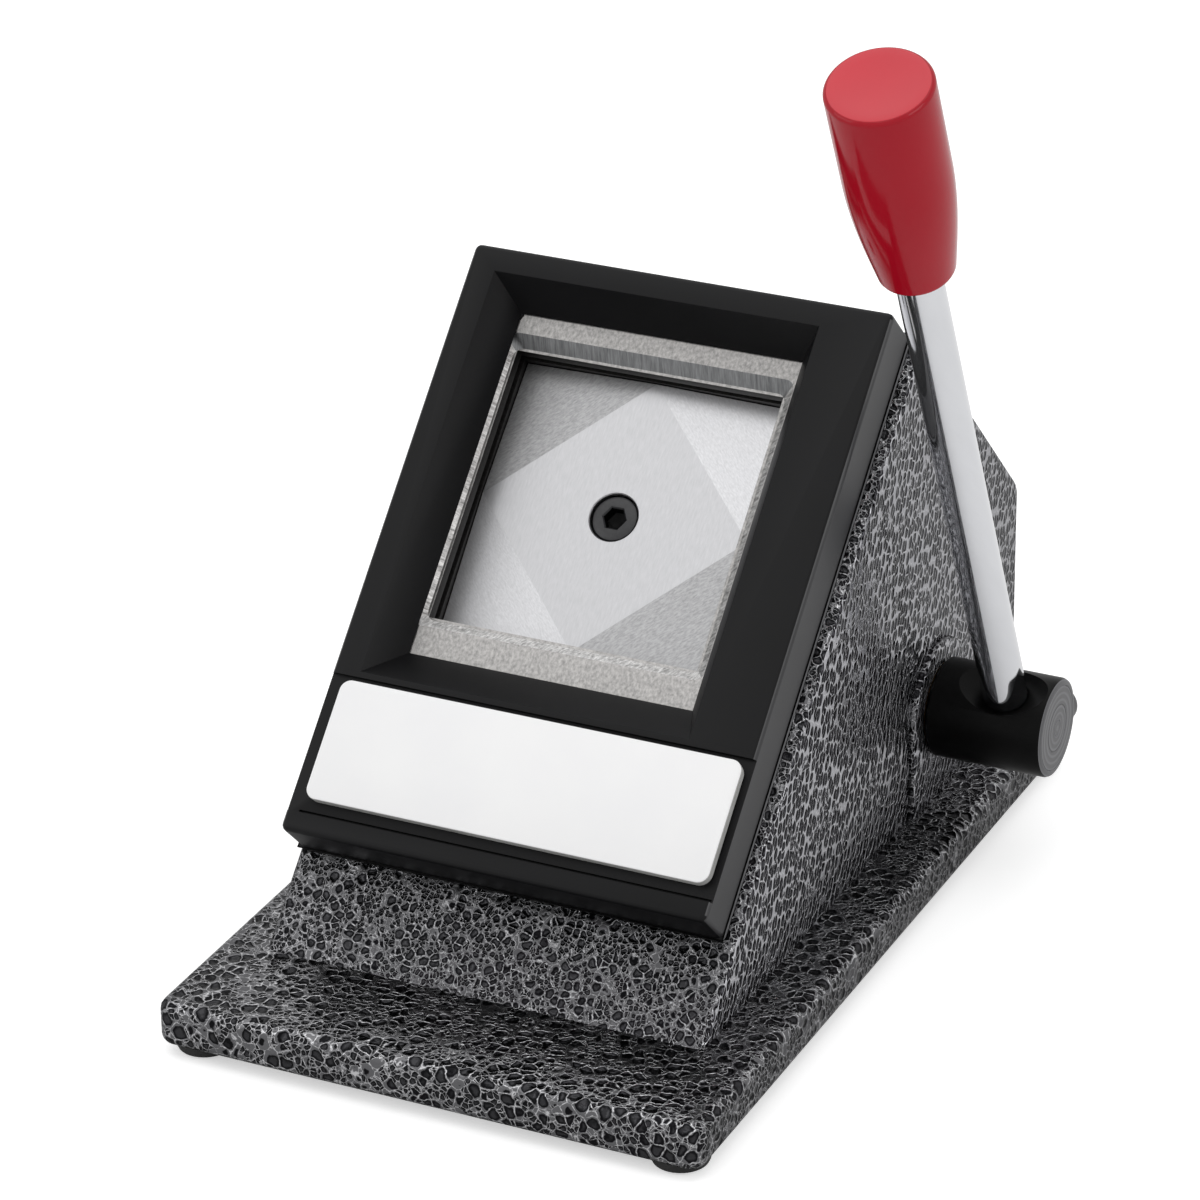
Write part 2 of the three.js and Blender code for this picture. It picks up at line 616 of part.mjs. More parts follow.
function diePlate() {
  const grow = (by) => [openLeft - by, openRight + by, openBottom - by, openTop + by];
  const ledgeFloor = dieTop - BEVEL_DEPTH;
  const inner = roundedRectangle(...grow(LEDGE), BEVEL_CORNER - BEVEL_RUN);
  const reach = 1 + 1 / BEVEL_DEPTH;
  const outer = roundedRectangle(...grow(LEDGE + BEVEL_RUN * reach), BEVEL_CORNER);
  return cut(
    plate(roundedRectangle(...dieOutline, 1, 2), dieBottom, dieTop),
    block(...grow(0), dieBottom - 1, dieTop + 1),
    taper(inner, ledgeFloor, outer, dieTop + 1),
    ...dieScrewHoles());
}

function spacer() {
  return cut(
    plate(roundedRectangle(...dieOutline, 1, 2), slotBottom, slotTop),
    block(pocketLeft - 1, openRight + SLOT_STOP, slotLow, slotHigh, slotBottom - 1, slotTop + 1),
    ...dieScrewHoles());
}

function guidePlate() {
  const postHoles = posts.map(({ x, v }) => join(
    rod(POST_RADIUS + FIT, guideBottom - 1, guideTop, COARSE).translate(x, v, 0),
    rod(POST_HEAD_RADIUS + FIT, guideTop - POST_HEAD - 2 * FIT, guideTop + 1, COARSE).translate(x, v, 0)));
  return cut(
    plate(roundedRectangle(...dieOutline, 1, 2), guideBottom, guideTop),
    block(openLeft, openRight, openBottom, openTop, guideBottom - 1, guideTop + 1),
    ...postHoles, ...dieScrewHoles());
}

piece(slope, 'die_plate', diePlate(), MILLED_STEEL);
piece(slope, 'print_slot_spacer', spacer(), GROUND_STEEL);
piece(slope, 'guide_plate', guidePlate(), MILLED_STEEL);
dieScrewPlaces.forEach(([x, v]) => {
  const name = `die_screw_${v < APERTURE_V ? 'lower' : 'upper'}_${x < 0 ? 'left' : 'right'}`;
  piece(slope, name, socketed(sunkScrew(DIE_SCREW), DIE_SCREW), BLACK_SCREW).position.set(x, v, dieTop);
});

// Guide posts, their snap rings and the return springs

function guidePost() {
  const top = guideTop - FIT;
  const end = ramBottom - POST_END;
  const ringTop = ramBottom - SEAT + FIT;
  const ringBottom = ramBottom - SEAT - CLIP_THICK - FIT;
  const neck = POST_RADIUS * 0.72;
  return turned([
    [0, end], [POST_RADIUS - 0.4, end], [POST_RADIUS, end + 0.4], [POST_RADIUS, ringBottom],
    [neck, ringBottom], [neck, ringTop], [POST_RADIUS, ringTop], [POST_RADIUS, top - POST_HEAD],
    [POST_HEAD_RADIUS, top - POST_HEAD], [POST_HEAD_RADIUS, top], [0, top],
  ], COARSE);
}

// One unbroken wire of round section, wound on a cylinder
function helicalSpring(z0, z1) {
  const steps = SPRING_TURNS * 8;
  const sides = 5;
  const low = z0 + WIRE_RADIUS;
  const rise = (z1 - z0 - 2 * WIRE_RADIUS) / steps;
  const middles = [];
  for (let i = 0; i <= steps; i += 1) {
    const turn = (i / 8) * 2 * Math.PI;
    const [x, y] = [SPRING_RADIUS * Math.cos(turn), SPRING_RADIUS * Math.sin(turn)];
    middles.push(new THREE.Vector3(x, y, low + rise * i));
  }
  const points = [];
  middles.forEach((middle, i) => {
    const turn = (i / 8) * 2 * Math.PI;
    for (let k = 0; k < sides; k += 1) {
      const around = (k / sides) * 2 * Math.PI;
      const out = SPRING_RADIUS + WIRE_RADIUS * Math.cos(around);
      points.push([out * Math.cos(turn), out * Math.sin(turn), middle.z + WIRE_RADIUS * Math.sin(around)]);
    }
  });
  const corners = [];
  for (let i = 0; i < steps; i += 1) {
    for (let k = 0; k < sides; k += 1) {
      const [a, b] = [i * sides + k, i * sides + ((k + 1) % sides)];
      corners.push(a, a + sides, b + sides, a, b + sides, b);
    }
  }
  const last = steps * sides;
  for (let k = 2; k < sides; k += 1) corners.push(0, k - 1, k, last, last + k, last + k - 1);
  const geometry = new THREE.BufferGeometry();
  geometry.setAttribute('position', new THREE.Float32BufferAttribute(points.flat(), 3));
  geometry.setIndex(corners);
  let gap = Infinity;
  for (let i = 0; i + 5 <= steps; i += 1) {
    for (let j = i + 5; j <= steps; j += 1) {
      gap = Math.min(gap, middles[i].distanceTo(middles[j]) - 2 * WIRE_RADIUS);
    }
  }
  console.log(`least gap between the turns of a return spring: ${gap.toFixed(2)} mm`);
  return geometry;
}

for (const { name, x, v } of posts) {
  piece(slope, `guide_post_${name}`, guidePost(), GROUND_STEEL).position.set(x, v, 0);
  const ring = snapRing(
    POST_RADIUS * 0.72 + FIT, POST_RADIUS + CLIP_RIM, ramBottom - SEAT - CLIP_THICK, ramBottom - SEAT);
  piece(slope, `post_clip_${name}`, ring, BLACK_OXIDE).position.set(x, v, 0);
  piece(slope, `return_spring_${name}`, helicalSpring(ramTop + SEAT, guideBottom - SEAT), SPRING_STEEL)
    .position.set(x, v, 0);
}

// Ram: punch, its screw, the plate that carries it, bushes and the pad that the cam pushes

function punch() {
  const dropped = punchTop - FACET_DROP;
  const low = APERTURE_V - punchHalf;
  const high = APERTURE_V + punchHalf;
  const left = APERTURE_X - punchHalf;
  const right = APERTURE_X + punchHalf;
  const points = [
    [left, low, punchBottom], [right, low, punchBottom],
    [right, high, punchBottom], [left, high, punchBottom],
    [left, low, dropped], [right, low, dropped], [right, high, dropped], [left, high, dropped],
    [APERTURE_X, low, punchTop], [right, APERTURE_V, punchTop],
    [APERTURE_X, high, punchTop], [left, APERTURE_V, punchTop],
  ];
  const corners = [0, 2, 1, 0, 3, 2, 8, 9, 10, 8, 10, 11];
  for (let k = 0; k < 4; k += 1) {
    const next = (k + 1) % 4;
    const middle = 8 + k;
    const before = 8 + ((k + 3) % 4);
    corners.push(k, next, middle, k, middle, 4 + k, next, 4 + next, middle);
    corners.push(4 + k, middle, before);
  }
  const geometry = new THREE.BufferGeometry();
  geometry.setAttribute('position', new THREE.Float32BufferAttribute(points.flat(), 3));
  geometry.setIndex(corners);
  return cut(geometry, punchScrewHole());
}

const punchScrewTop = punchTop - 0.4;
const spigotTop = padTop + SEAT + PAD_SPIGOT - FIT;
const punchScrew = {
  ...PUNCH_SCREW,
  length: punchScrewTop - PUNCH_SCREW.rise - spigotTop - PUNCH_SCREW_ROOM,
};
const punchScrewHole = () => join(
  capScrew(punchScrew, FIT).translate(APERTURE_X, APERTURE_V, punchScrewTop),
  rod(PUNCH_SCREW.head + FIT, punchScrewTop - 1, punchTop + 1, COARSE)
    .translate(APERTURE_X, APERTURE_V, 0));

function ramPlate() {
  const left = APERTURE_X - punchHalf;
  const right = posts[0].x + RAM_MARGIN;
  const bottom = posts[1].v - RAM_MARGIN;
  const top = APERTURE_V + punchHalf;
  const stemEnd = padTop + SEAT;
  const spigot = rod(PAD_SPIGOT_RADIUS + FIT, stemEnd - 1, stemEnd + PAD_SPIGOT, COARSE);
  const postHoles = posts.map(({ x, v }) =>
    rod(POST_RADIUS + RUN + RAM_BUSH_WALL + FIT, ramBottom - 1, ramTop + 1, COARSE).translate(x, v, 0));
  return cut(
    join(
      plate(roundedRectangle(left, right, bottom, top, RAM_CORNER, 3), ramBottom, ramTop),
      rod(STEM_RADIUS, stemEnd, ramBottom + 1, MEDIUM).translate(APERTURE_X, APERTURE_V, 0)),
    spigot.translate(APERTURE_X, APERTURE_V, 0), punchScrewHole(), ...postHoles);
}

function followerPad() {
  return turned([
    [0, padBottom], [PAD_RADIUS - 0.6, padBottom], [PAD_RADIUS, padBottom + 0.6], [PAD_RADIUS, padTop],
    [PAD_SPIGOT_RADIUS, padTop], [PAD_SPIGOT_RADIUS, spigotTop], [0, spigotTop],
  ], MEDIUM);
}

piece(slope, 'punch', punch(), GROUND_STEEL);
piece(slope, 'punch_screw', socketed(capScrew(punchScrew), punchScrew), BLACK_SCREW)
  .position.set(APERTURE_X, APERTURE_V, punchScrewTop);
piece(slope, 'ram_plate', ramPlate(), MILLED_STEEL);
piece(slope, 'follower_pad', followerPad(), GROUND_STEEL).position.set(APERTURE_X, APERTURE_V, 0);
for (const { name, x, v } of posts) {
  const bore = POST_RADIUS + RUN;
  const bush = tube(bore, bore + RAM_BUSH_WALL, ramBottom, ramTop, COARSE);
  piece(slope, `ram_bush_${name}`, bush, BRONZE).position.set(x, v, 0);
}

// Bushes that carry the shaft in the body

function shaftBush() {
  const bore = SHAFT_RADIUS + RUN;
  const rim = bushOuter + BUSH_FLANGE;
  const inner = bossInner - BUSH_FLANGE_THICK;
  return turned([
    [bore, inner], [rim, inner], [rim, bossInner], [bushOuter, bossInner],
    [bushOuter, bossFace], [bore, bossFace], [bore, inner],
  ], FINE);
}

piece(machine, 'shaft_bush_right', alongX(shaftBush()), BRONZE).position.set(0, shaftY, shaftZ);
piece(machine, 'shaft_bush_left', alongX(shaftBush()).rotateZ(Math.PI), BRONZE)
  .position.set(0, shaftY, shaftZ);

// Lever: everything that turns with the shaft, built upright and then leaned forwards

const lever = new THREE.Group();
lever.position.set(0, shaftY, shaftZ);
lever.rotation.x = degrees(LEVER_LEAN);
machine.add(lever);

const hubInner = bossFace + SEAT;
const hubOuter = hubInner + HUB_LENGTH;
const rodX = hubInner + ROD_ALONG_HUB;
const shaftEnd = hubOuter - HUB_FLOOR - SEAT;
const washerFace = -bossFace - SEAT;
const clipFace = washerFace - WASHER_THICK - SEAT;
const clipNeck = SHAFT_RADIUS - 1.2;
const shaftTail = clipFace - CLIP_THICK - SHAFT_TAIL;
const keyAngle = camAngle - LEVER_LEAN;
const lockX = hubOuter - LOCK_SCREW_FROM_END;
const lockAngle = LOCK_SCREW_ANGLE - LEVER_LEAN;
const lockSeat = HUB_RADIUS - 0.6;

// The key's block, or its keyway when it grows by a clearance
const key = (grow) => outwards(
  block(camLeft + 1 - grow, camRight - 1 + grow, -KEY_WIDTH / 2 - grow, KEY_WIDTH / 2 + grow,
    SHAFT_RADIUS - KEY_DEPTH - grow, SHAFT_RADIUS + KEY_RISE + grow), keyAngle);
const tenonHole = () =>
  rod(ROD_TENON_RADIUS + FIT, ROD_TENON_END - FIT, HUB_RADIUS, COARSE).translate(rodX, 0, 0);

function shaft() {
  const body = turned([
    [0, shaftTail], [SHAFT_RADIUS - 0.6, shaftTail], [SHAFT_RADIUS, shaftTail + 0.6],
    [SHAFT_RADIUS, clipFace - CLIP_THICK - FIT], [clipNeck, clipFace - CLIP_THICK - FIT],
    [clipNeck, clipFace + FIT], [SHAFT_RADIUS, clipFace + FIT], [SHAFT_RADIUS, bossFace],
    [SHAFT_END_RADIUS, bossFace], [SHAFT_END_RADIUS, shaftEnd], [0, shaftEnd],
  ], FINE);
  return cut(alongX(body), key(FIT), tenonHole(), lockScrewHole());
}

function cam() {
  const disc = alongX(rod(CAM_RADIUS, camLeft, camRight, FINE));
  const centre = degrees(keyAngle);
  disc.translate(0, CAM_THROW * Math.cos(centre), CAM_THROW * Math.sin(centre));
  const keyway = outwards(
    block(camLeft - 1, camRight + 1, -KEY_WIDTH / 2 - FIT, KEY_WIDTH / 2 + FIT,
      0, SHAFT_RADIUS + KEY_RISE + FIT), keyAngle);
  return cut(disc, alongX(rod(SHAFT_RADIUS + FIT, camLeft - 1, camRight + 1, FINE)), keyway);
}

const lockTop = lockSeat + FIT + LOCK_SCREW.rise;
const atLock = (screw) => outwards(screw.translate(0, 0, lockTop), lockAngle).translate(lockX, 0, 0);
const lockScrewHole = () => atLock(capScrew(LOCK_SCREW, FIT));

function hub() {
  const rim = HUB_RADIUS - HUB_CHAMFER;
  const body = turned([
    [0, hubInner], [rim, hubInner], [HUB_RADIUS, hubInner + HUB_CHAMFER],
    [HUB_RADIUS, hubOuter - HUB_CHAMFER], [rim, hubOuter], [0, hubOuter],
  ], FINE);
  const tan = Math.tan(degrees(DISH_ANGLE / 2));
  const apex = HUB_RADIUS - DISH_RADIUS / tan;
  const above = HUB_RADIUS + 2;
  const dish = turned([[0, apex], [(above - apex) * tan, above], [0, above]], MEDIUM).translate(rodX, 0, 0);
  const bore = alongX(rod(SHAFT_END_RADIUS + FIT, hubInner - 1, hubOuter - HUB_FLOOR, FINE));
  return cut(alongX(body), dish, bore, tenonHole(), lockScrewHole());
}

function leverRod() {
  const top = GRIP_FROM + GRIP_BORE - 1;
  return turned([
    [0, ROD_TENON_END], [ROD_TENON_RADIUS, ROD_TENON_END], [ROD_TENON_RADIUS, ROD_SHOULDER],
    [ROD_RADIUS, ROD_SHOULDER], [ROD_RADIUS, top], [0, top],
  ], MEDIUM);
}

function grip() {
  const bore = ROD_RADIUS + FIT;
  const end = GRIP_FROM + GRIP_BORE;
  const profile = [
    [bore, GRIP_FROM], [GRIP_FOOT_RADIUS - GRIP_ROUND, GRIP_FROM],
    [GRIP_FOOT_RADIUS, GRIP_FROM + GRIP_ROUND]];
  for (let k = 1; k <= 5; k += 1) {
    const part = k / 5;
    const swell = GRIP_FOOT_RADIUS + (GRIP_RADIUS - GRIP_FOOT_RADIUS) * Math.sin((part * Math.PI) / 2);
    profile.push([swell, GRIP_FROM + GRIP_ROUND + (GRIP_WAIST - GRIP_FROM - GRIP_ROUND) * part]);
  }
  profile.push([GRIP_RADIUS, GRIP_TO - GRIP_ROUND]);
  profile.push([GRIP_RADIUS - GRIP_ROUND * 0.3, GRIP_TO - GRIP_ROUND * 0.3]);
  profile.push([GRIP_RADIUS - GRIP_ROUND, GRIP_TO], [0, GRIP_TO], [0, end], [bore, end]);
  profile.push([bore, GRIP_FROM]);
  return turned(profile, MEDIUM);
}

piece(lever, 'lever_shaft', shaft(), GROUND_STEEL);
piece(lever, 'eccentric_cam', cam(), GROUND_STEEL);
piece(lever, 'cam_key', key(0), GROUND_STEEL);
const spacerBore = SHAFT_RADIUS + FIT;
const spacerEnd = bossInner - BUSH_FLANGE_THICK - SEAT;
const spacerRuns = { left: [-spacerEnd, camLeft - SEAT], right: [camRight + SEAT, spacerEnd] };
for (const [side, run] of Object.entries(spacerRuns)) {
  const sleeve = tube(spacerBore, spacerBore + SPACER_WALL, ...run, MEDIUM);
  piece(lever, `shaft_spacer_${side}`, alongX(sleeve), ZINC_SCREW);
}
const washer = tube(spacerBore, bushOuter, washerFace - WASHER_THICK, washerFace, MEDIUM);
piece(lever, 'shaft_washer', alongX(washer), ZINC_SCREW);
const shaftRing = snapRing(clipNeck + FIT, SHAFT_RADIUS + CLIP_RIM, clipFace - CLIP_THICK, clipFace);
piece(lever, 'shaft_clip', alongX(geometryOf(shaftRing)), BLACK_OXIDE);
piece(lever, 'lever_hub', hub(), BLACK_OXIDE);
const lockScrew = geometryOf(socketed(capScrew(LOCK_SCREW), LOCK_SCREW));
piece(lever, 'hub_lock_screw', atLock(lockScrew), BLACK_SCREW);
piece(lever, 'lever_rod', leverRod(), CHROME).position.x = rodX;
piece(lever, 'grip', grip(), RED_GRIP).position.x = rodX;

// The origin is the middle of the box that holds the part, on the surface it stands on

const cutter = new THREE.Group();
cutter.name = 'passport_photo_cutter';
cutter.add(machine);
machine.updateMatrixWorld(true);
const bounds = new THREE.Box3().setFromObject(machine, true);
machine.position.set(-(bounds.min.x + bounds.max.x) / 2, -(bounds.min.y + bounds.max.y) / 2, -bounds.min.z);

export default cutter;
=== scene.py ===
# %% [markdown]
# # A passport photo cutter, dressed around its CAD frame
#
# The machine is a small desk press: a wedge of hammertone-painted castings carries a steel die on its
# sloping face, and a lever on the right side drives a square punch up through the die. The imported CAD
# model is loaded first. It says where every piece is and which body moves it, so the pieces made here
# only add what a solid model lacks: rounded edges, small details and real finishes.

# %% Load the frame
import json
import math

import bmesh
import bpy
from mathutils import Matrix, Vector


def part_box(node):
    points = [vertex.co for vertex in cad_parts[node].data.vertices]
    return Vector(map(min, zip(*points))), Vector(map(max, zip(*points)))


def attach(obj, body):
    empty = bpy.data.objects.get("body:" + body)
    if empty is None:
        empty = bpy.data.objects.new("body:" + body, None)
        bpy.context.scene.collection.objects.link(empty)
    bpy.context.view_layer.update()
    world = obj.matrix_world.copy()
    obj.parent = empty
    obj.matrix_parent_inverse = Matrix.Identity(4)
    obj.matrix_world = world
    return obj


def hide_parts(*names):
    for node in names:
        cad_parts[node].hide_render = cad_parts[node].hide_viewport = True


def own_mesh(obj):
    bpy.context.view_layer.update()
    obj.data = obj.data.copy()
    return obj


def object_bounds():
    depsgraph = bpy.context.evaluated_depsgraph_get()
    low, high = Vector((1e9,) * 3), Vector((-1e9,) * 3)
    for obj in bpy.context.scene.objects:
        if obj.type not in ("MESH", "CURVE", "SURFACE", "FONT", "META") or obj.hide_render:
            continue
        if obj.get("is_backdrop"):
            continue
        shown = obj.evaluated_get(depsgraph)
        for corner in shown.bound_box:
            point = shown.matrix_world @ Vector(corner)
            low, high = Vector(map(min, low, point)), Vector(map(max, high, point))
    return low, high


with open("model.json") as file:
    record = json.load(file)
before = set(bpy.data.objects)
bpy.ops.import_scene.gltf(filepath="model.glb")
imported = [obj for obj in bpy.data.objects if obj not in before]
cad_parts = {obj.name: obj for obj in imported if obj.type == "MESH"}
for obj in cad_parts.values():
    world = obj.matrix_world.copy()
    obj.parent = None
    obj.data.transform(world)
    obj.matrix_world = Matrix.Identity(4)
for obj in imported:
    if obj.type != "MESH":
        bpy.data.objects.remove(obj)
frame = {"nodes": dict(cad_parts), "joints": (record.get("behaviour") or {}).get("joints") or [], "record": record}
cad_low, cad_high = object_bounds()
print("CAD box in mm:", [round((b - a) * 1000, 1) for a, b in zip(cad_low, cad_high)])

# %% [markdown]
# ## Three places to work at
#
# A maker lays each piece flat on the bench, works on it in millimetres and then fits it to the machine.
# The script does the same. MACHINE stands at the foot of the slope, on top of the base plate. SLOPE
# lies on the sloping face: X across, Y up the slope, Z out of it. LEVER stands on the shaft's axis and
# leans forwards with the rod. Each one is a matrix that carries a finished piece from the bench to its
# place.

# %% Places
MM = 0.001
TILT = math.radians(45)
LEAN = math.radians(24.4)

body_low, body_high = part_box("body_casting")
FOOT = Vector(((body_low.x + body_high.x) / 2, body_low.y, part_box("base_plate")[1].z))
AXIS = next(Vector(j["pos_m"]) for j in frame["joints"] if j["name"] == "lever_tilt")

MACHINE = Matrix.Translation(FOOT) @ Matrix.Scale(MM, 4)
SLOPE = Matrix.Translation(FOOT) @ Matrix.Rotation(TILT, 4, "X") @ Matrix.Scale(MM, 4)
LEVER = (Matrix.Translation((FOOT.x, AXIS.y, AXIS.z)) @ Matrix.Rotation(LEAN, 4, "X")
         @ Matrix.Scale(MM, 4))
print("foot of the slope in mm:", [round(c / MM, 2) for c in FOOT])


def room(node, place):
    """The lowest and highest corner of a CAD node, in millimetres, as seen from one of the places."""
    back = place.inverted()
    points = [back @ v.co for v in frame["nodes"][node].data.vertices]
    return [Vector(side(p[k] for p in points) for k in range(3)) for side in (min, max)]


def centre(node, place):
    """The middle of a CAD node's room."""
    low, high = room(node, place)
    return (low + high) / 2


# %% [markdown]
# ## The camera
#
# The view was worked out from the edges and corners in the photograph: the camera stands 877 mm from
# the machine, 26 degrees to its right and 26 degrees up, and leans by less than a degree. The focal
# length belongs to a square sensor 36 mm wide.

# %% Camera
CAMERA_AT = Vector((344.39, -734.41, 452.16)) * MM
CAMERA_AIM = Vector((-0.54, -24.43, 70.51)) * MM
CAMERA_ROLL = math.radians(-0.811)

ahead = (CAMERA_AIM - CAMERA_AT).normalized()
level = ahead.cross(Vector((0, 0, 1))).normalized()
above = level.cross(ahead)
across = level * math.cos(CAMERA_ROLL) + above * math.sin(CAMERA_ROLL)
upward = above * math.cos(CAMERA_ROLL) - level * math.sin(CAMERA_ROLL)
camera = bpy.data.objects.new("camera", bpy.data.cameras.new("camera"))
bpy.context.scene.collection.objects.link(camera)
facing = Matrix((across, upward, -ahead)).transposed().to_4x4()
camera.matrix_world = Matrix.Translation(CAMERA_AT) @ facing
camera.data.sensor_width = 36
camera.data.lens = 157.32
camera.data.clip_end = 20
bpy.context.scene.camera = camera
bpy.context.scene.view_settings.view_transform = "Standard"
print("camera at", [round(c, 3) for c in CAMERA_AT])

# %% [markdown]
# ## Finishes: three small tools
#
# A colour is written as it is seen, in sRGB, and the renderer counts in linear light, so one function
# turns the first into the second. One function adds a node. One starts a finish with its shader and the
# piece's own coordinates in millimetres, which can be turned so that a pattern lies along the slope.

# %% Tools for finishes


def paint(code):
    """A hex colour as seen on a screen, as linear red, green, blue and full opacity."""
    parts = [int(code[i:i + 2], 16) / 255 for i in (1, 3, 5)]
    return [c / 12.92 if c <= 0.04045 else ((c + 0.055) / 1.055) ** 2.4 for c in parts] + [1]


def add_node(tree, kind, values=None, links=None, stops=(), **settings):
    """One node with its settings, its fixed values, what feeds it and its [place, hex colour] stops."""
    node = tree.nodes.new(kind)
    for name, value in settings.items():
        setattr(node, name, value)
    for socket, value in (values or {}).items():
        node.inputs[socket].default_value = value
    for socket, source in (links or {}).items():
        tree.links.new(source, node.inputs[socket])
    while stops and len(node.color_ramp.elements) < len(stops):
        node.color_ramp.elements.new(0.5)
    for element, (place, code) in zip(node.color_ramp.elements if stops else (), stops):
        element.position = place
        element.color = paint(code)
    return node


def new_finish(name, colour, roughness, metallic=0.0, turn=(0, 0, 0), stretch=(1, 1, 1), **fixed):
    """A material, its node tree and shader, and the piece's coordinates in millimetres."""
    material = bpy.data.materials.new(name)
    material.use_nodes = True
    tree = material.node_tree
    shader = tree.nodes["Principled BSDF"]
    values = {"Base Color": paint(colour), "Roughness": roughness, "Metallic": metallic, **fixed}
    for socket, value in values.items():
        shader.inputs[socket].default_value = value
    here = add_node(tree, "ShaderNodeTexCoord").outputs["Object"]
    rotated = add_node(tree, "ShaderNodeMapping", {"Rotation": [math.radians(a) for a in turn]},
                       {"Vector": here})
    sized = add_node(tree, "ShaderNodeMapping", {"Scale": [1 / (MM * s) for s in stretch]},
                     {"Vector": rotated.outputs[0]})
    return material, tree, shader, sized.outputs[0]


def wire(tree, shader, colour, height, depth):
    """Wires a colour and a relief of that depth in millimetres to the shader."""
    bump = add_node(tree, "ShaderNodeBump", {"Strength": 1.0, "Distance": depth * MM}, {"Height": height})
    tree.links.new(colour, shader.inputs["Base Color"])
    tree.links.new(bump.outputs[0], shader.inputs["Normal"])


# %% [markdown]
# ## Hammertone paint
#
# Hammertone is a stoved enamel with silicone and metal flake in it. As it dries the flake draws back
# into a pale silvery net and leaves round dark pits 1 to 3 mm across, so it looks beaten. The flake
# makes it a half-metal: it mirrors the white table where it can see it, and goes nearly black where it
# faces another dark wall. A Voronoi pattern gives the pits. Its distance to the middle of a cell makes
# them round, and its distance to the cell's edge keeps neighbours apart. Where a cell's random number
# is low, a finer Voronoi takes its place, so large pits stand among small ones. One number then says
# how deep a point lies in its pit. It picks the colour, from the grey ground over the dark rim to the
# paler floor of the pit, and also the depth of the relief. Along the edges between cells a thin pale
# line is laid, broken by a fine noise. Another noise bends the cells first, so that none is a plain
# polygon.

# %% Hammertone
FINER = 1.9  # small cells to a large one, along a line
SMALLER = 0.94  # how much of its cell a small pit fills, against a large one
RIDGE = 0.07  # half the ridge between two pits, in cells
BLEND = 0.12  # how softly the round pit and the ridge meet
GROUND_AT, FLOOR_AT = -0.12, 0.3  # distance from a pit's rim at which ground and floor are reached
LINE = 0.04  # half the pale line, in cells
SPECKS = 0.36  # how far the fine noise breaks up the colours


def hammertone(name, cell, pale, middle, dark, pit_floor, depth, radius, fine, warp=0.55, plane="3D",
               **laid):
    """Paint with cells of that many mm; radius is a pit's in cells, fine the share of small cells."""
    material, tree, shader, at = new_finish(
        name, middle, 0.18, 0.92, **laid,
        **{"Specular IOR Level": 0.3, "Specular Tint": (0.6, 0.6, 0.6, 1)})
    bend = add_node(tree, "ShaderNodeTexNoise", {"Scale": 1.1 / cell, "Detail": 3}, {"Vector": at})
    bent = add_node(tree, "ShaderNodeVectorMath", {1: (cell * warp,) * 3},
                    {0: bend.outputs["Color"], 2: at}, operation="MULTIPLY_ADD").outputs[0]
    grain = add_node(tree, "ShaderNodeTexNoise", {"Scale": 3.5 / cell, "Detail": 4}, {"Vector": at})
    speck = add_node(tree, "ShaderNodeMath", {1: SPECKS, 2: -SPECKS / 2}, {0: grain.outputs["Fac"]},
                     operation="MULTIPLY_ADD")
    pits, lines = [], []
    for scale, size in ((1 / cell, radius), (FINER / cell, radius * SMALLER)):
        cells = add_node(tree, "ShaderNodeTexVoronoi", {"Scale": scale}, {"Vector": bent},
                         voronoi_dimensions=plane)
        edges = add_node(tree, "ShaderNodeTexVoronoi", {"Scale": scale}, {"Vector": bent},
                         feature="DISTANCE_TO_EDGE", voronoi_dimensions=plane)
        inside = add_node(tree, "ShaderNodeMath", {0: size}, {1: cells.outputs["Distance"]},
                          operation="SUBTRACT")
        apart = add_node(tree, "ShaderNodeMath", {1: RIDGE}, {0: edges.outputs["Distance"]},
                         operation="SUBTRACT")
        pits.append(add_node(tree, "ShaderNodeMath", {2: BLEND},
                             {0: inside.outputs[0], 1: apart.outputs[0]}, operation="SMOOTH_MIN"))
        lines.append(edges)
        if not pits[1:]:
            chance = add_node(tree, "ShaderNodeSeparateColor", links={"Color": cells.outputs["Color"]})
            is_large = add_node(tree, "ShaderNodeMath", {1: fine}, {0: chance.outputs[0]},
                                operation="GREATER_THAN")
    field = add_node(tree, "ShaderNodeMix", links={0: is_large.outputs[0], 2: pits[1].outputs[0],
                                                   3: pits[0].outputs[0]})
    deep = add_node(tree, "ShaderNodeMapRange", {"From Min": GROUND_AT, "From Max": FLOOR_AT},
                    {"Value": field.outputs[0]})
    rough = add_node(tree, "ShaderNodeMath", links={0: deep.outputs[0], 1: speck.outputs[0]})
    ground = add_node(tree, "ShaderNodeValToRGB", links={"Fac": rough.outputs[0]}, stops=[
        (0.2, middle), (0.3, dark), (0.5, dark), (0.85, pit_floor)])
    to_line = add_node(tree, "ShaderNodeMix", links={
        0: is_large.outputs[0], 2: lines[1].outputs["Distance"], 3: lines[0].outputs["Distance"]})
    broken = add_node(tree, "ShaderNodeMath", {1: 0.4}, {0: speck.outputs[0], 2: to_line.outputs[0]},
                      operation="MULTIPLY_ADD")
    line = add_node(tree, "ShaderNodeMapRange", {"From Min": LINE, "From Max": 0.0},
                    {"Value": broken.outputs[0]})
    colour = add_node(tree, "ShaderNodeMix", {7: paint(pale)},
                      {0: line.outputs[0], 6: ground.outputs["Color"]}, data_type="RGBA")
    height = add_node(tree, "ShaderNodeMath", {1: -1.0}, {0: deep.outputs[0]}, operation="MULTIPLY")
    wire(tree, shader, colour.outputs[2], height.outputs[0], depth)
    return material


print("a large pit has the room of", round(FINER ** 2, 1), "small ones")
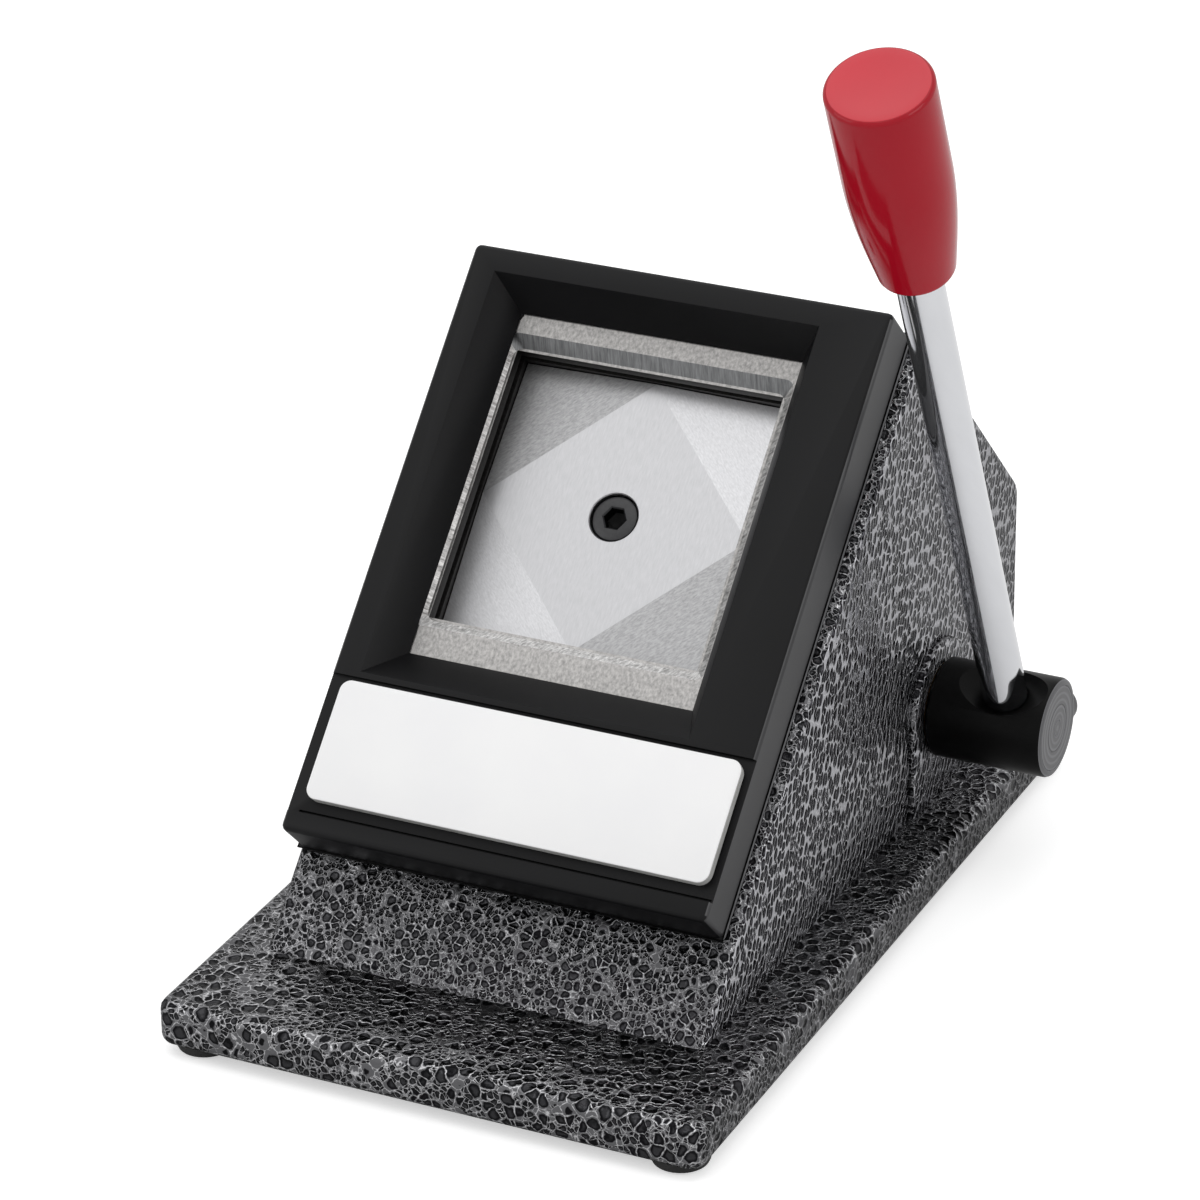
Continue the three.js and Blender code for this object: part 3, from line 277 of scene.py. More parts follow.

# %% [markdown]
# Three coats are mixed with it. The slopes and the back of the casting have the plain one. On the
# upright side walls the wet paint ran, so the cells are drawn out downwards there and lean a little.
# They are also more even. A slice through a solid pattern cuts many cells near their rim, so on these
# flat walls the pattern is turned into the wall, made in two dimensions and bent less. Their colours
# are also much paler than the front's: that is painted light, for the brighter light on the upright
# walls. The base plate was painted thicker, so its pits are larger.

# %% Three coats of hammertone
FACE_PAINT = hammertone("hammertone_face", 1.65, pale="#9e9ea0", middle="#565658", dark="#0e0e10",
                        pit_floor="#353537", depth=0.2, radius=0.56, fine=0.5)
# The side coat's paler colours are painted light.
SIDE_PAINT_LIT = hammertone("hammertone_side_painted_light", 1.25, pale="#d4d4d7", middle="#ababaf", dark="#0c0c0e",
                        pit_floor="#47474b", depth=0.24, radius=0.49, fine=0.12, warp=0.2, plane="2D",
                        turn=(20, 90, 0), stretch=(1.85, 1, 1))
BASE_PAINT = hammertone("hammertone_base", 2.2, pale="#bcbcbe", middle="#606062", dark="#121214",
                        pit_floor="#353537", depth=0.3, radius=0.58, fine=0.42)
print("hammertone finishes made")

# %% [markdown]
# ## Plastics and rubber
#
# The bezel is moulded ABS with a fine spark-eroded grain, so its front is dark and satin. Its side
# walls slid out of a smoother part of the mould and mirror the table. They are also painted paler than
# the front, as painted light, and the lip at their foot paler still, as a painted highlight. The name
# plate is two-layer laminate, the kind used for engraved signs, with a matt white face on a grey core.
# The grip is phenolic resin, polished, so a clear gloss lies over a deep red. Hands have dulled its end
# face, which spreads the light, and the end is painted a brighter red, as painted light from above. The
# feet are moulded rubber, nearly matt.

# %% Plastics and rubber


def moulded(name, colour, other, roughness, grain, depth, **fixed):
    """A plastic whose colour drifts a little, with a grain of that width in millimetres."""
    material, tree, shader, at = new_finish(name, colour, roughness, **fixed)
    cloud = add_node(tree, "ShaderNodeTexNoise", {"Scale": 0.06, "Detail": 4}, {"Vector": at})
    drift = add_node(tree, "ShaderNodeValToRGB", links={"Fac": cloud.outputs["Fac"]},
                     stops=[(0.3, colour), (0.7, other)])
    fine = add_node(tree, "ShaderNodeTexNoise", {"Scale": 1 / grain, "Detail": 2}, {"Vector": at})
    wire(tree, shader, drift.outputs["Color"], fine.outputs["Fac"], depth)
    return material


# The side walls are painted paler than the front as painted light, and their lip paler still as a painted
# highlight.
BEZEL_SIDE_LIT = moulded("moulded_abs_smooth_painted_light", "#242426", "#2b2b2d", 0.36, 0.25, 0.004)
BEZEL_LIP_HIGHLIGHT = moulded("moulded_abs_lip_painted_highlight", "#5e5e60", "#6a6a6c", 0.36, 0.25, 0.004)
BEZEL_ABS = moulded("moulded_abs_black", "#050506", "#08080a", 0.42, 0.25, 0.007,
                    **{"Specular IOR Level": 0.17})
LAMINATE = moulded("laminate_white", "#f0f0f0", "#ececed", 0.5, 0.4, 0.003)
LAMINATE_CORE = moulded("laminate_core_grey", "#b4b4b2", "#8e8e8c", 0.6, 0.3, 0.02)
PHENOLIC = moulded("phenolic_red", "#a60a1f", "#a0091d", 0.11, 2.0, 0.002,
                   **{"Specular IOR Level": 0.2, "Coat Weight": 0.04})
# The end face is painted a brighter red than the sides: painted light from above.
PHENOLIC_END_LIT = moulded("phenolic_red_end_painted_light", "#c4152a", "#be1428", 0.25, 2.0, 0.002,
                       **{"Specular IOR Level": 0.4, "Coat Weight": 0.05})
RUBBER = moulded("moulded_rubber", "#161616", "#1c1c1c", 0.75, 0.35, 0.02)
print("plastics made")

# %% [markdown]
# ## Metals
#
# The die plate is milled steel: the cutter leaves fine marks and a dull, warm bloom. The punch is
# surface-ground, so it is brighter, with fine scratches along one line. Its lowered corners were ground
# on the skew, and two of them are painted paler and two darker: painted light and shade, for the way
# each corner faces the light. Bevels cut with the side of a mill show chatter, little scallops at each
# tooth. The bevels beside and below are painted bright, as painted highlights, and the bevel above
# darker, as painted shade. The walls of the opening are painted near black, as painted shade. Screws,
# hub and rings are blacked in hot salts, which leaves them almost black with a soft shine. The rod is
# hard chrome, a plain mirror with the faintest polishing marks. All are metals apart from the
# blacking, which is an oxide skin. The bevels with the strongest chatter count as part metal, because
# their small facets scatter light as paint does.

# %% Metals


def worked_metal(name, colour, other, roughness, marks, stretch, depth, metallic=1.0, twist=0, **fixed):
    """A metal with marks of that width in millimetres, drawn out by stretch along X, Y and Z."""
    material, tree, shader, at = new_finish(
        name, colour, roughness, metallic, turn=(-45, 0, twist), stretch=stretch, **fixed)
    marks = add_node(tree, "ShaderNodeTexNoise", {"Scale": 1 / marks, "Detail": 5, "Roughness": 0.65},
                     {"Vector": at})
    bloom = add_node(tree, "ShaderNodeValToRGB", links={"Fac": marks.outputs["Fac"]},
                     stops=[(0.32, other), (0.68, colour)])
    wire(tree, shader, bloom.outputs["Color"], marks.outputs["Fac"], depth)
    return material


MILLED = worked_metal("milled_steel", "#aaa8a6", "#7d7c7b", 0.4, 0.55, (1, 1.5, 1), 0.02)
# Three copies of one milled finish by the way a bevel faces: painted light beside and below, painted shade above.
BEVEL_BESIDE_LIT = worked_metal("milled_bevel_beside_painted_light", "#dcdbd9", "#6a6968", 0.4, 0.5, (5, 1, 5), 0.06, 0.6)
BEVEL_BELOW_HIGHLIGHT = worked_metal("milled_bevel_below_painted_highlight", "#fbfaf9", "#8a8988", 0.5, 0.45, (1, 4, 4), 0.07, 0.3)
BEVEL_ABOVE_SHADED = worked_metal("milled_bevel_above_painted_shade", "#8f9091", "#646566", 0.38, 0.35, (1, 14, 14), 0.015)
# Near-black steel for the walls of the opening: painted shade.
PAINTED_SHADE_WALL = worked_metal("steel_wall_painted_shade", "#3a3938", "#2a2928", 0.5, 0.5, (1, 1, 1), 0.01)
GROUND = worked_metal("ground_steel", "#bbbbbd", "#b0b0b2", 0.34, 0.3, (1, 7, 1), 0.003)
# Two lowered corners are painted paler and two darker, as painted light and shade; the grinding marks lie on the
# skew.
GROUND_LIT = worked_metal("ground_steel_painted_light", "#cbcbcd", "#b6b6b8", 0.42, 0.25, (3, 1, 1), 0.006,
                           twist=45)
GROUND_SHADED = worked_metal("ground_steel_painted_shade", "#b0b0b1", "#909091", 0.45, 0.3, (3, 1, 1), 0.012,
                           twist=-45)
BLACKED = worked_metal("blacked_steel", "#050505", "#090909", 0.34, 1.5, (1, 1, 1), 0.003, 0.0,
                       **{"Specular IOR Level": 0.08})
BLACK_SCREW = worked_metal("blacked_screw", "#232325", "#2e2e30", 0.4, 0.6, (1, 1, 1), 0.006, 0.0,
                           **{"Specular IOR Level": 0.45})
CHROME = worked_metal("hard_chrome", "#dcdde0", "#d7d8db", 0.07, 6.0, (1, 1, 5), 0.0005)
ZINC = worked_metal("zinc_plated_steel", "#b4b6b8", "#9ea0a3", 0.32, 1.2, (1, 1, 1), 0.006)
BRONZE = worked_metal("sintered_bronze", "#a9824a", "#86642f", 0.42, 0.4, (1, 1, 1), 0.01)
SPRING_STEEL = worked_metal("spring_steel", "#96999d", "#7d8084", 0.33, 0.5, (1, 1, 1), 0.004)
print("metals made")

# %% [markdown]
# The hub's outer end was faced on a lathe, which leaves rings round its centre. They are drawn by the
# distance from the shaft's axis, so they stay round in every view.

# %% Faced end
RING_RATE = 5.2  # radians per mm from the axis, so a ring is 1.2 mm wide
FACED_END, tree, shader, at = new_finish("faced_end", "#6b6b6d", 0.36, 0.7)
from_axis = add_node(tree, "ShaderNodeVectorMath", {1: [c / MM for c in AXIS]}, {0: at},
                     operation="SUBTRACT")
flat_place = add_node(tree, "ShaderNodeVectorMath", {1: (0, 1, 1)}, {0: from_axis.outputs[0]},
                      operation="MULTIPLY")
radius = add_node(tree, "ShaderNodeVectorMath", links={0: flat_place.outputs[0]}, operation="LENGTH")
rings = add_node(tree, "ShaderNodeMath", {1: RING_RATE}, {0: radius.outputs["Value"]},
                 operation="MULTIPLY")
wave = add_node(tree, "ShaderNodeMath", links={0: rings.outputs[0]}, operation="SINE")
shade = add_node(tree, "ShaderNodeValToRGB", links={"Fac": wave.outputs[0]},
                 stops=[(0.0, "#525254"), (0.9, "#666669")])
wire(tree, shader, shade.outputs["Color"], wave.outputs[0], 0.01)
print("faced end made")

# %% [markdown]
# ## Tools for modelling
#
# Every piece starts as a primitive of its real size and is shaped with the mesh operators. Small
# helpers do what a hand and a mouse would. The first ones add a block, and open a piece and select what
# passes a test. A test is a short function that looks at one corner, edge or face, so the script says
# in words which ones are meant, and it still holds when their numbers change.

# %% Tools for selecting


def only(piece):
    """Makes this piece the one that is selected and active."""
    if bpy.context.object and bpy.context.object.mode == "EDIT":
        bpy.ops.object.mode_set(mode="OBJECT")
    bpy.ops.object.select_all(action="DESELECT")
    piece.select_set(True)
    bpy.context.view_layer.objects.active = piece


def settled(piece):
    """Moves the piece's place, turn and size into its mesh."""
    only(piece)
    bpy.ops.object.transform_apply(location=True, rotation=True, scale=True)
    return piece


def block(name, low, high):
    """A block between two corners."""
    bpy.ops.object.select_all(action="DESELECT")
    middle = [(a + b) / 2 for a, b in zip(low, high)]
    size = [b - a for a, b in zip(low, high)]
    bpy.ops.mesh.primitive_cube_add(size=1, location=middle, scale=size)
    bpy.context.object.name = name
    return settled(bpy.context.object)


def pick(piece, kind, test):
    """Opens a piece and selects the VERT, EDGE or FACE items that pass the test."""
    only(piece)
    bpy.ops.object.mode_set(mode="EDIT")
    bpy.ops.mesh.select_mode(type=kind)
    bpy.ops.mesh.select_all(action="DESELECT")
    mesh = bmesh.from_edit_mesh(piece.data)
    mesh.normal_update()
    items = {"VERT": mesh.verts, "EDGE": mesh.edges, "FACE": mesh.faces}[kind]
    chosen = [item for item in items if test(item)]
    for item in chosen:
        item.select_set(True)
    mesh.select_flush_mode()
    bmesh.update_edit_mesh(piece.data)
    return len(chosen)


def done():
    """Closes the piece that is open."""
    bpy.ops.object.mode_set(mode="OBJECT")


# %% [markdown]
# What is selected is then shaped: edges are rounded, faces pulled up and corners moved. Most edges are
# meant by the way they run or by the height they lie at, so the tests for these are written once.

# %% Tools for shaping
TOUCH = 0.01  # mm: what is nearer to a plane than this lies in it
STRAIGHT = 0.999  # share of its length by which an edge runs along an axis


def round_edges(piece, test, radius, segments=3):
    """Rounds the edges that pass the test."""
    count = pick(piece, "EDGE", test)
    bpy.ops.mesh.bevel(offset=radius, offset_type="OFFSET", segments=segments, profile=0.5,
                       affect="EDGES")
    done()
    return count


def along(axis):
    """A test for edges that run along X, Y or Z."""
    def runs(edge):
        """Compares the edge's reach along the axis with its length."""
        run = edge.verts[1].co - edge.verts[0].co
        return abs(run[axis]) > STRAIGHT * run.length
    return runs


def near(value, place):
    """Whether a height or a width is at a place."""
    return abs(value - place) < TOUCH


def at_height(z):
    """A test for edges that lie level at that height."""
    return lambda edge: all(near(v.co.z, z) for v in edge.verts)


def pull_up(height):
    """Extrudes the faces that are selected upwards."""
    bpy.ops.mesh.extrude_region_move(TRANSFORM_OT_translate={"value": (0, 0, height)})


def shift(piece, test, by):
    """Moves the corners that pass the test."""
    pick(piece, "VERT", test)
    bpy.ops.transform.translate(value=by)
    done()


def open_out(piece, test, sides):
    """Widens a cutter: each side is an axis, the place of its corners and how far they move."""
    for axis, place, by in sides:
        shift(piece, lambda v: test(v) and near(v.co[axis], place),
              tuple(by if k == axis else 0 for k in range(3)))


print("a corner lies in a plane when nearer than", TOUCH, "mm")

# %% [markdown]
# Round pieces are spun from a profile, as on a lathe. The profile starts as one corner, and each next
# point is extruded from it. Doubled corners are merged and the faces turned outwards before a piece is
# used.

# %% Tools for turning
ROUND_SIDES = 48  # sides of a turned piece, enough to look round at the size of a hub


def whole(piece):
    """Merges doubled corners, closes a gap that a cut left and turns all faces outwards."""
    pick(piece, "VERT", lambda v: True)
    bpy.ops.mesh.remove_doubles(threshold=0.002)
    bpy.ops.mesh.fill_holes(sides=4)
    bpy.ops.mesh.normals_make_consistent(inside=False)
    done()
    return piece


def turned(name, profile, sides=ROUND_SIDES):
    """Spins a profile of [radius, height] points round the upright axis, drawn edge by edge."""
    bpy.ops.object.select_all(action="DESELECT")
    bpy.ops.mesh.primitive_plane_add(size=1)
    piece = bpy.context.object
    piece.name = name
    pick(piece, "VERT", lambda v: True)
    bpy.ops.mesh.merge(type="CENTER")
    bpy.ops.transform.translate(value=(profile[0][0], 0, profile[0][1]))
    for (r0, z0), (r1, z1) in zip(profile, profile[1:]):
        bpy.ops.mesh.extrude_vertices_move(TRANSFORM_OT_translate={"value": (r1 - r0, 0, z1 - z0)})
    bpy.ops.mesh.select_all(action="SELECT")
    bpy.ops.mesh.spin(steps=sides, angle=2 * math.pi, center=(0, 0, 0), axis=(0, 0, 1))
    done()
    return whole(piece)


def pin(name, radius, low, high, sides=ROUND_SIDES):
    """A plain round bar, used to bore holes."""
    return turned(name, [(0, low), (radius, low), (radius, high), (0, high)], sides)


print("degrees from side to side of a turned piece:", 360 / ROUND_SIDES)

# %% [markdown]
# A piece is carried by a matrix, and its place goes into its mesh at once. Holes and pockets are cut,
# and bosses joined on, with the Boolean modifier in its exact mode, whose tool is a block or a turned
# piece. Tools that don't touch are joined first, so that one cut does for all of them.

# %% Tools for moving and cutting


def moved(piece, place):
    """Carries a bench piece by a matrix."""
    piece.matrix_world = place
    return settled(piece)


def set_at(piece, x, y):
    """Moves a bench piece along the bench."""
    return moved(piece, Matrix.Translation((x, y, 0)))


def with_modifier(piece, kind, **settings):
    """Adds a modifier with its settings and applies it."""
    only(piece)
    modifier = piece.modifiers.new(kind.lower(), kind)
    for name, value in settings.items():
        setattr(modifier, name, value)
    bpy.ops.object.modifier_apply(modifier=modifier.name)
    return piece


def carve(piece, *tools, how="DIFFERENCE"):
    """Cuts tools out of a piece, or joins them to it, one after the other."""
    for tool in tools:
        with_modifier(piece, "BOOLEAN", operation=how, solver="EXACT", object=tool)
        bpy.data.objects.remove(tool)
    return piece


def together(*pieces):
    """Joins tools that don't touch, so that one cut does for all."""
    only(pieces[0])
    for piece in pieces[1:]:
        piece.select_set(True)
    bpy.ops.object.join()
    return pieces[0]


ALONG_X = Matrix.Rotation(math.radians(90), 4, "Y")
print("a turned piece stands upright and is laid along X by a quarter turn")

# %% [markdown]
# A finished piece is handed over in one step.

# %% Tools for handing over


def fit(piece, place, body, slot, finish, *nodes, smooth=35):
    """Closes a finished piece, carries it to its place, dresses it and hides the CAD nodes that it stands for."""
    moved(whole(piece), place)
    bpy.ops.object.shade_smooth_by_angle(angle=math.radians(smooth))
    if not piece.data.materials:
        piece.data.materials.append(finish)
    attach(piece, body)
    if nodes:
        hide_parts(*nodes)
    size = [round(c / MM, 1) for c in piece.dimensions]
    print(f"{piece.name}: {size} mm, {sum(len(p.vertices) - 2 for p in piece.data.polygons)} triangles")
    return piece


def copies(piece, *names):
    """The piece and copies of it under these names, each with a mesh of its own."""
    made = [piece]
    for _ in names[1:]:
        twin = piece.copy()
        twin.data = piece.data.copy()
        bpy.context.scene.collection.objects.link(twin)
        made.append(twin)
    for item, name in zip(made, names):
        item.name = name
    return made


def finish_faces(piece, finishes, choose):
    """Gives each face one of several finishes; choose returns its number."""
    for finish in finishes:
        piece.data.materials.append(finish)
    for face in piece.data.polygons:
        face.material_index = choose(face)


# %% [markdown]
# ## Base plate
#
# The real plate is a flat iron casting with corners rounded in plan and soft top and bottom edges. A
# block would do for its body; rounding first the upright corners and then both rims gives the rolled
# look of the painted edge. Four countersunk holes take the screws that hold the body, and four take the
# feet.

# %% Base plate
CORNER = 3
RIM = 1.8
base_low, base_high = room("base_plate", MACHINE)
base = block("base_plate_cast", base_low, base_high)
round_edges(base, along(2), CORNER, 5)
count = round_edges(base, lambda e: at_height(base_low.z)(e) or at_height(base_high.z)(e), RIM, 4)
print("rim edges rounded:", count)

# %% Holes in the base plate
CORNERS = ("front_left", "front_right", "rear_left", "rear_right")
body_screws = [centre(f"body_screw_{spot}", MACHINE) for spot in CORNERS]
foot_screws = [centre(f"foot_screw_{spot}", MACHINE) for spot in CORNERS]
UNDER = base_low.z
SHANK = 2.25  # radius of the hole that a screw passes
SUNK = 4.25
SUNK_DEEP = 2.4
THREAD = 1.7  # radius of the hole that a foot screw holds in
THREAD_DEEP = 6.5
tools = []
for body_at, foot_at in zip(body_screws, foot_screws):
    tools.append(set_at(turned("tool", [(0, UNDER - 1), (SUNK, UNDER - 1), (SUNK, UNDER + 0.1),
                                        (SHANK, UNDER + SUNK_DEEP), (SHANK, 2), (0, 2)], 32),
                        body_at.x, body_at.y))
    tools.append(set_at(pin("tool", THREAD, UNDER - 1, UNDER + THREAD_DEEP, 24), foot_at.x, foot_at.y))
carve(base, together(*tools))
fit(base, MACHINE, "frame", "hammertone", BASE_PAINT, "base_plate")

# %% [markdown]
# ## Body casting
#
# The body is a hollow wedge. It could be drawn as an outline and pulled out sideways, but a block with
# two slices taken off it is as quick and shows where the angles come from: one slice is the sloping
# front and the other the sloping rear top. Its long edges are rounded a little more than its sides, as
# a pattern maker would leave them. The inside is then hollowed, the pocket for the die set is cut, and
# two arched bosses are joined on where the shaft runs through.

# %% Wedge
BODY_HALF = 41
FACE = 130
SPARE = 8  # in front of the foot, for the slice to take off
BACK_ROUND = 2
SIDE_ROUND = 1.5
DEPTH = room("body_casting", MACHINE)[1].y
PEAK = FACE * math.sin(TILT)


def wedge(name, half, back, front_off, rear_off, low):
    """A block with the front slope and the rear top sliced off, each moved inwards by so much."""
    piece = block(name, (-half, -SPARE, low), (half, back, PEAK))
    out = Vector((0, -1, 1)).normalized()
    pick(piece, "FACE", lambda f: True)
    bpy.ops.mesh.bisect(plane_co=-out * front_off, plane_no=out, use_fill=True, clear_outer=True)
    rear = Vector((0, 1, 1)).normalized()
    bpy.ops.mesh.select_all(action="SELECT")
    bpy.ops.mesh.bisect(plane_co=Vector((0, PEAK, PEAK)) - rear * rear_off, plane_no=rear,
                        use_fill=True, clear_outer=True)
    done()
    return piece


body = wedge("body_casting_shell", BODY_HALF, DEPTH, 0, 0, 0)
round_edges(body, lambda e: along(0)(e) and e.verts[0].co.z > 1, BACK_ROUND, 4)
count = round_edges(body, lambda e: all(near(abs(v.co.x), BODY_HALF) for v in e.verts)
                    and max(v.co.z for v in e.verts) > TOUCH and not along(0)(e), SIDE_ROUND, 3)
print("side edges rounded:", count)

# %% [markdown]
# A casting has walls of one thickness, so a smaller wedge is cut out of the block. Behind the die set
# the front stays thick, as the shelf that carries it, and only the toe below is thinned. The pocket for
# the die set is cut from the front with a block laid on the slope. Then two blocks that cross each
# other are cut through the shelf: they leave a lug in each corner for the die screws to go into.

# %% Hollow, pocket and shelf
SLANT = Matrix.Rotation(TILT, 4, "X")
WALL = 4.5
TOE_WALL = 5
TOE = 40  # up the slope, where the thin toe ends
SHELF = 14.3  # from the slope to the back of the shelf
THROUGH = -16
FAR = 60  # well outside the casting
GAP = 0.3  # between faces that rest on each other


def slanted(name, low, high):
    """A block on the slope, to cut with."""
    return moved(block(name, low, high), SLANT)


hollow = wedge("tool", BODY_HALF - WALL, DEPTH - WALL, SHELF, WALL, -1)
toe = wedge("tool", BODY_HALF - WALL, DEPTH - WALL, TOE_WALL, WALL, -1)
carve(toe, slanted("tool", (-FAR, TOE, -FAR), (FAR, 200, 10)))
carve(body, hollow, toe)
pocket_low, pocket_high = room("die_plate", SLOPE)
shelf_top = room("guide_plate", SLOPE)[0].z - GAP
carve(body, slanted("tool", (pocket_low.x - GAP, pocket_low.y - GAP, shelf_top),
                    (pocket_high.x + GAP, pocket_high.y + GAP, 6)))
for low, high in (((-29.7, 49.1), (27.7, 121.3)), ((-33.9, 53.3), (32.3, 116.7))):
    carve(body, slanted("tool", (*low, THROUGH), (*high, shelf_top + 1)))
print("pocket floor at", round(shelf_top, 2), "mm under the slope")

# %% [markdown]
# The shaft's bosses stand 1 mm proud of the sides as arches: a block whose two upper edges are rounded
# until they meet. The print goes in through a slot in the left side, whose mouth opens outwards so that
# a sheet of paper finds its way.

# %% Bosses, bores and the print slot
shaft_y = (AXIS.y - FOOT.y) / MM
shaft_z = (AXIS.z - FOOT.z) / MM
BOSS = 12.5
BOSS_DEEP = 9
ARCH_EDGE = 0.75
BUSH = 8.16  # radius of the hole for the shaft's bushes
SCREW_BOSS = 4.5
SCREW_BOSS_HIGH = 14
BOSS_FACE = room("body_casting", MACHINE)[1].x
for side in (-1, 1):
    reach = sorted((side * (BOSS_FACE - BOSS_DEEP), side * BOSS_FACE))
    arch = block("arch", (reach[0], shaft_y - BOSS, 0), (reach[1], shaft_y + BOSS, shaft_z + BOSS))
    round_edges(arch, lambda e: along(0)(e) and e.verts[0].co.z > 1, BOSS - 0.02, 14)
    round_edges(arch, lambda e: all(near(v.co.x, side * BOSS_FACE) for v in e.verts)
                and max(v.co.z for v in e.verts) > TOUCH, ARCH_EDGE, 3)
    carve(body, arch, how="UNION")
bosses = [set_at(pin("tool", SCREW_BOSS, 0, SCREW_BOSS_HIGH, 24), at.x, at.y) for at in body_screws]
carve(body, together(*bosses), how="UNION")
holes = [set_at(pin("tool", SHANK, -1, 5, 24), at.x, at.y) for at in body_screws]
carve(body, together(*holes))
carve(body, moved(pin("tool", BUSH, -FAR, FAR), Matrix.Translation((0, shaft_y, shaft_z)) @ ALONG_X))

SLOT = (-3.8, -2.2)
SLOT_ENDS = (59, 119)
MOUTH = 2.4  # how far the mouth widens on each side
slot = block("tool", (-46, SLOT_ENDS[0], SLOT[0]), (pocket_low.x + 1, SLOT_ENDS[1], SLOT[1]))
mouth = block("tool", (-42.2, SLOT_ENDS[0], SLOT[0]), (-39.8, SLOT_ENDS[1], SLOT[1]))
open_out(mouth, lambda v: v.co.x < -42, ((1, SLOT_ENDS[0], -MOUTH), (1, SLOT_ENDS[1], MOUTH),
                                         (2, SLOT[0], -MOUTH), (2, SLOT[1], MOUTH)))
carve(body, moved(slot, SLANT), moved(mouth, SLANT))
fit(body, MACHINE, "frame", "hammertone", FACE_PAINT, "body_casting")
# The side walls get the paler side coat: painted light.
finish_faces(body, [SIDE_PAINT_LIT], lambda face: 1 if abs(face.normal.x) > 0.8 else 0)

# %% [markdown]
# ## Bezel
#
# The bezel is one moulded frame. It starts as a low block, the lip where the mould's halves met. The
# top of that is inset a little and pulled up, which leaves the lip standing round the foot of the
# walls.

# %% Bezel
LIP = 0.7
LIP_PROUD = 0.3
BEZEL_CORNER = 1.2
BEZEL_ROUND = 0.9
bezel_low, bezel_high = room("bezel", SLOPE)
bezel = block("bezel_frame", bezel_low, (bezel_high.x, bezel_high.y, bezel_low.z + LIP))
pick(bezel, "FACE", lambda f: f.normal.z > 0.9)
bpy.ops.mesh.inset(thickness=LIP_PROUD, depth=0)
pull_up(bezel_high.z - bezel_low.z - LIP)
done()
round_edges(bezel, along(2), BEZEL_CORNER, 4)
count = round_edges(bezel, at_height(bezel_high.z), BEZEL_ROUND, 3)
print("front edges rounded:", count)

# %% [markdown]
# Its window opens out towards the front on four sides, more below than beside, so it is cut with a
# block whose front corners are drawn outwards. A shallow recess takes the name plate and runs right
# across, with a groove along its lower edge, and another recess underneath makes room for the die
# plate. A small rounding on every edge that is left gives the moulding's soft highlights. The screw
# holes come after it, so they stay crisp.

# %% Window, recesses and screw holes
SIGHT_LOW = (-31.4, 55.7)
SIGHT_HIGH = (22.3, 120.4)
SILL = 2.9
FLARES = ((0, SIGHT_LOW[0], -4.05), (0, SIGHT_HIGH[0], 4.05),
          (1, SIGHT_LOW[1], -7.05), (1, SIGHT_HIGH[1], 4.25))
RECESS = (22.3, 47.6)
RECESS_DEEP = 0.8
GROOVE_TOP = 22.9
GROOVE_HALF = 38.5
GROOVE_DEEP = 1.6
SOFT_EDGE = 0.28
window = block("tool", (*SIGHT_LOW, SILL), (*SIGHT_HIGH, bezel_high.z + 1))
flare = (bezel_high.z + 1 - SILL) / (bezel_high.z - SILL)
open_out(window, lambda v: v.co.z > SILL + 1, [(axis, place, by * flare) for axis, place, by in FLARES])
carve(bezel, block("tool", (pocket_low.x - GAP, pocket_low.y - GAP, -1),
                   (pocket_high.x + GAP, pocket_high.y + GAP, SILL)),
      block("tool", (*SIGHT_LOW, SILL - 1), (*SIGHT_HIGH, SILL + TOUCH)), window,
      block("tool", (-FAR, RECESS[0], bezel_high.z - RECESS_DEEP), (FAR, RECESS[1], bezel_high.z + 1)),
      block("tool", (-GROOVE_HALF, RECESS[0], bezel_high.z - GROOVE_DEEP),
            (GROOVE_HALF, GROOVE_TOP, bezel_high.z)))
with_modifier(bezel, "BEVEL", width=SOFT_EDGE, segments=2, limit_method="ANGLE",
              angle_limit=math.radians(40))
for side in ("left", "right"):
    at = centre(f"bezel_screw_{side}", SLOPE)
    carve(bezel, set_at(turned("tool", [(0, -1), (SHANK, -1), (SHANK, 7.3), (4.05, 9.7), (4.05, 11),
                                        (0, 11)], 32), at.x, at.y))
fit(bezel, SLOPE, "frame", "black_plastic", BEZEL_ABS, "bezel", smooth=40)
walls_at = (bezel_high.x - 2 * LIP_PROUD) * MM
lip_top = bezel_low.z + LIP + 0.05


def bezel_finish(face):
    """0 the grained front, 1 the side walls, painted paler as painted light, 2 the lip, a painted highlight."""
    if abs(face.normal.x) < 0.6 or abs(face.center.x - FOOT.x) < walls_at:
        return 0
    return 2 if (SLOPE.inverted() @ face.center).z < lip_top else 1


# Paler side walls and lip: painted light and a painted highlight.
finish_faces(bezel, [BEZEL_SIDE_LIT, BEZEL_LIP_HIGHLIGHT], bezel_finish)

# %% [markdown]
# ## Name plate
#
# A blank plate of two-layer laminate. Its edge shows the layers, with a thin dark groove between them.
# The groove is made by pulling the face up in steps: in, up, out again and up.

# %% Name plate
SEAM = 0.95  # from the back to the groove
SEAM_IN = 0.22
SEAM_HIGH = 0.14
LABEL_CORNER = 2.2
LABEL_EDGE = 0.22
plate_low, plate_high = room("name_plate", SLOPE)
label = block("name_plate_laminate", plate_low, (plate_high.x, plate_high.y, plate_low.z + SEAM))
round_edges(label, along(2), LABEL_CORNER, 8)
top = plate_low.z + SEAM
middle = (plate_low + plate_high) / 2
wide, high = (plate_high - plate_low).xy
pick(label, "FACE", lambda f: f.normal.z > 0.9)
bpy.ops.mesh.inset(thickness=SEAM_IN, depth=0)
pull_up(SEAM_HIGH)
pull_up(0)
bpy.ops.transform.resize(value=(wide / (wide - 2 * SEAM_IN), high / (high - 2 * SEAM_IN), 1),
                         center_override=(middle.x, middle.y, top))
pull_up(plate_high.z - top - SEAM_HIGH)
done()
round_edges(label, at_height(plate_high.z), LABEL_EDGE, 2)
fit(label, SLOPE, "frame", "white_plastic", LAMINATE, "name_plate")
layer = plate_high.z - 0.3
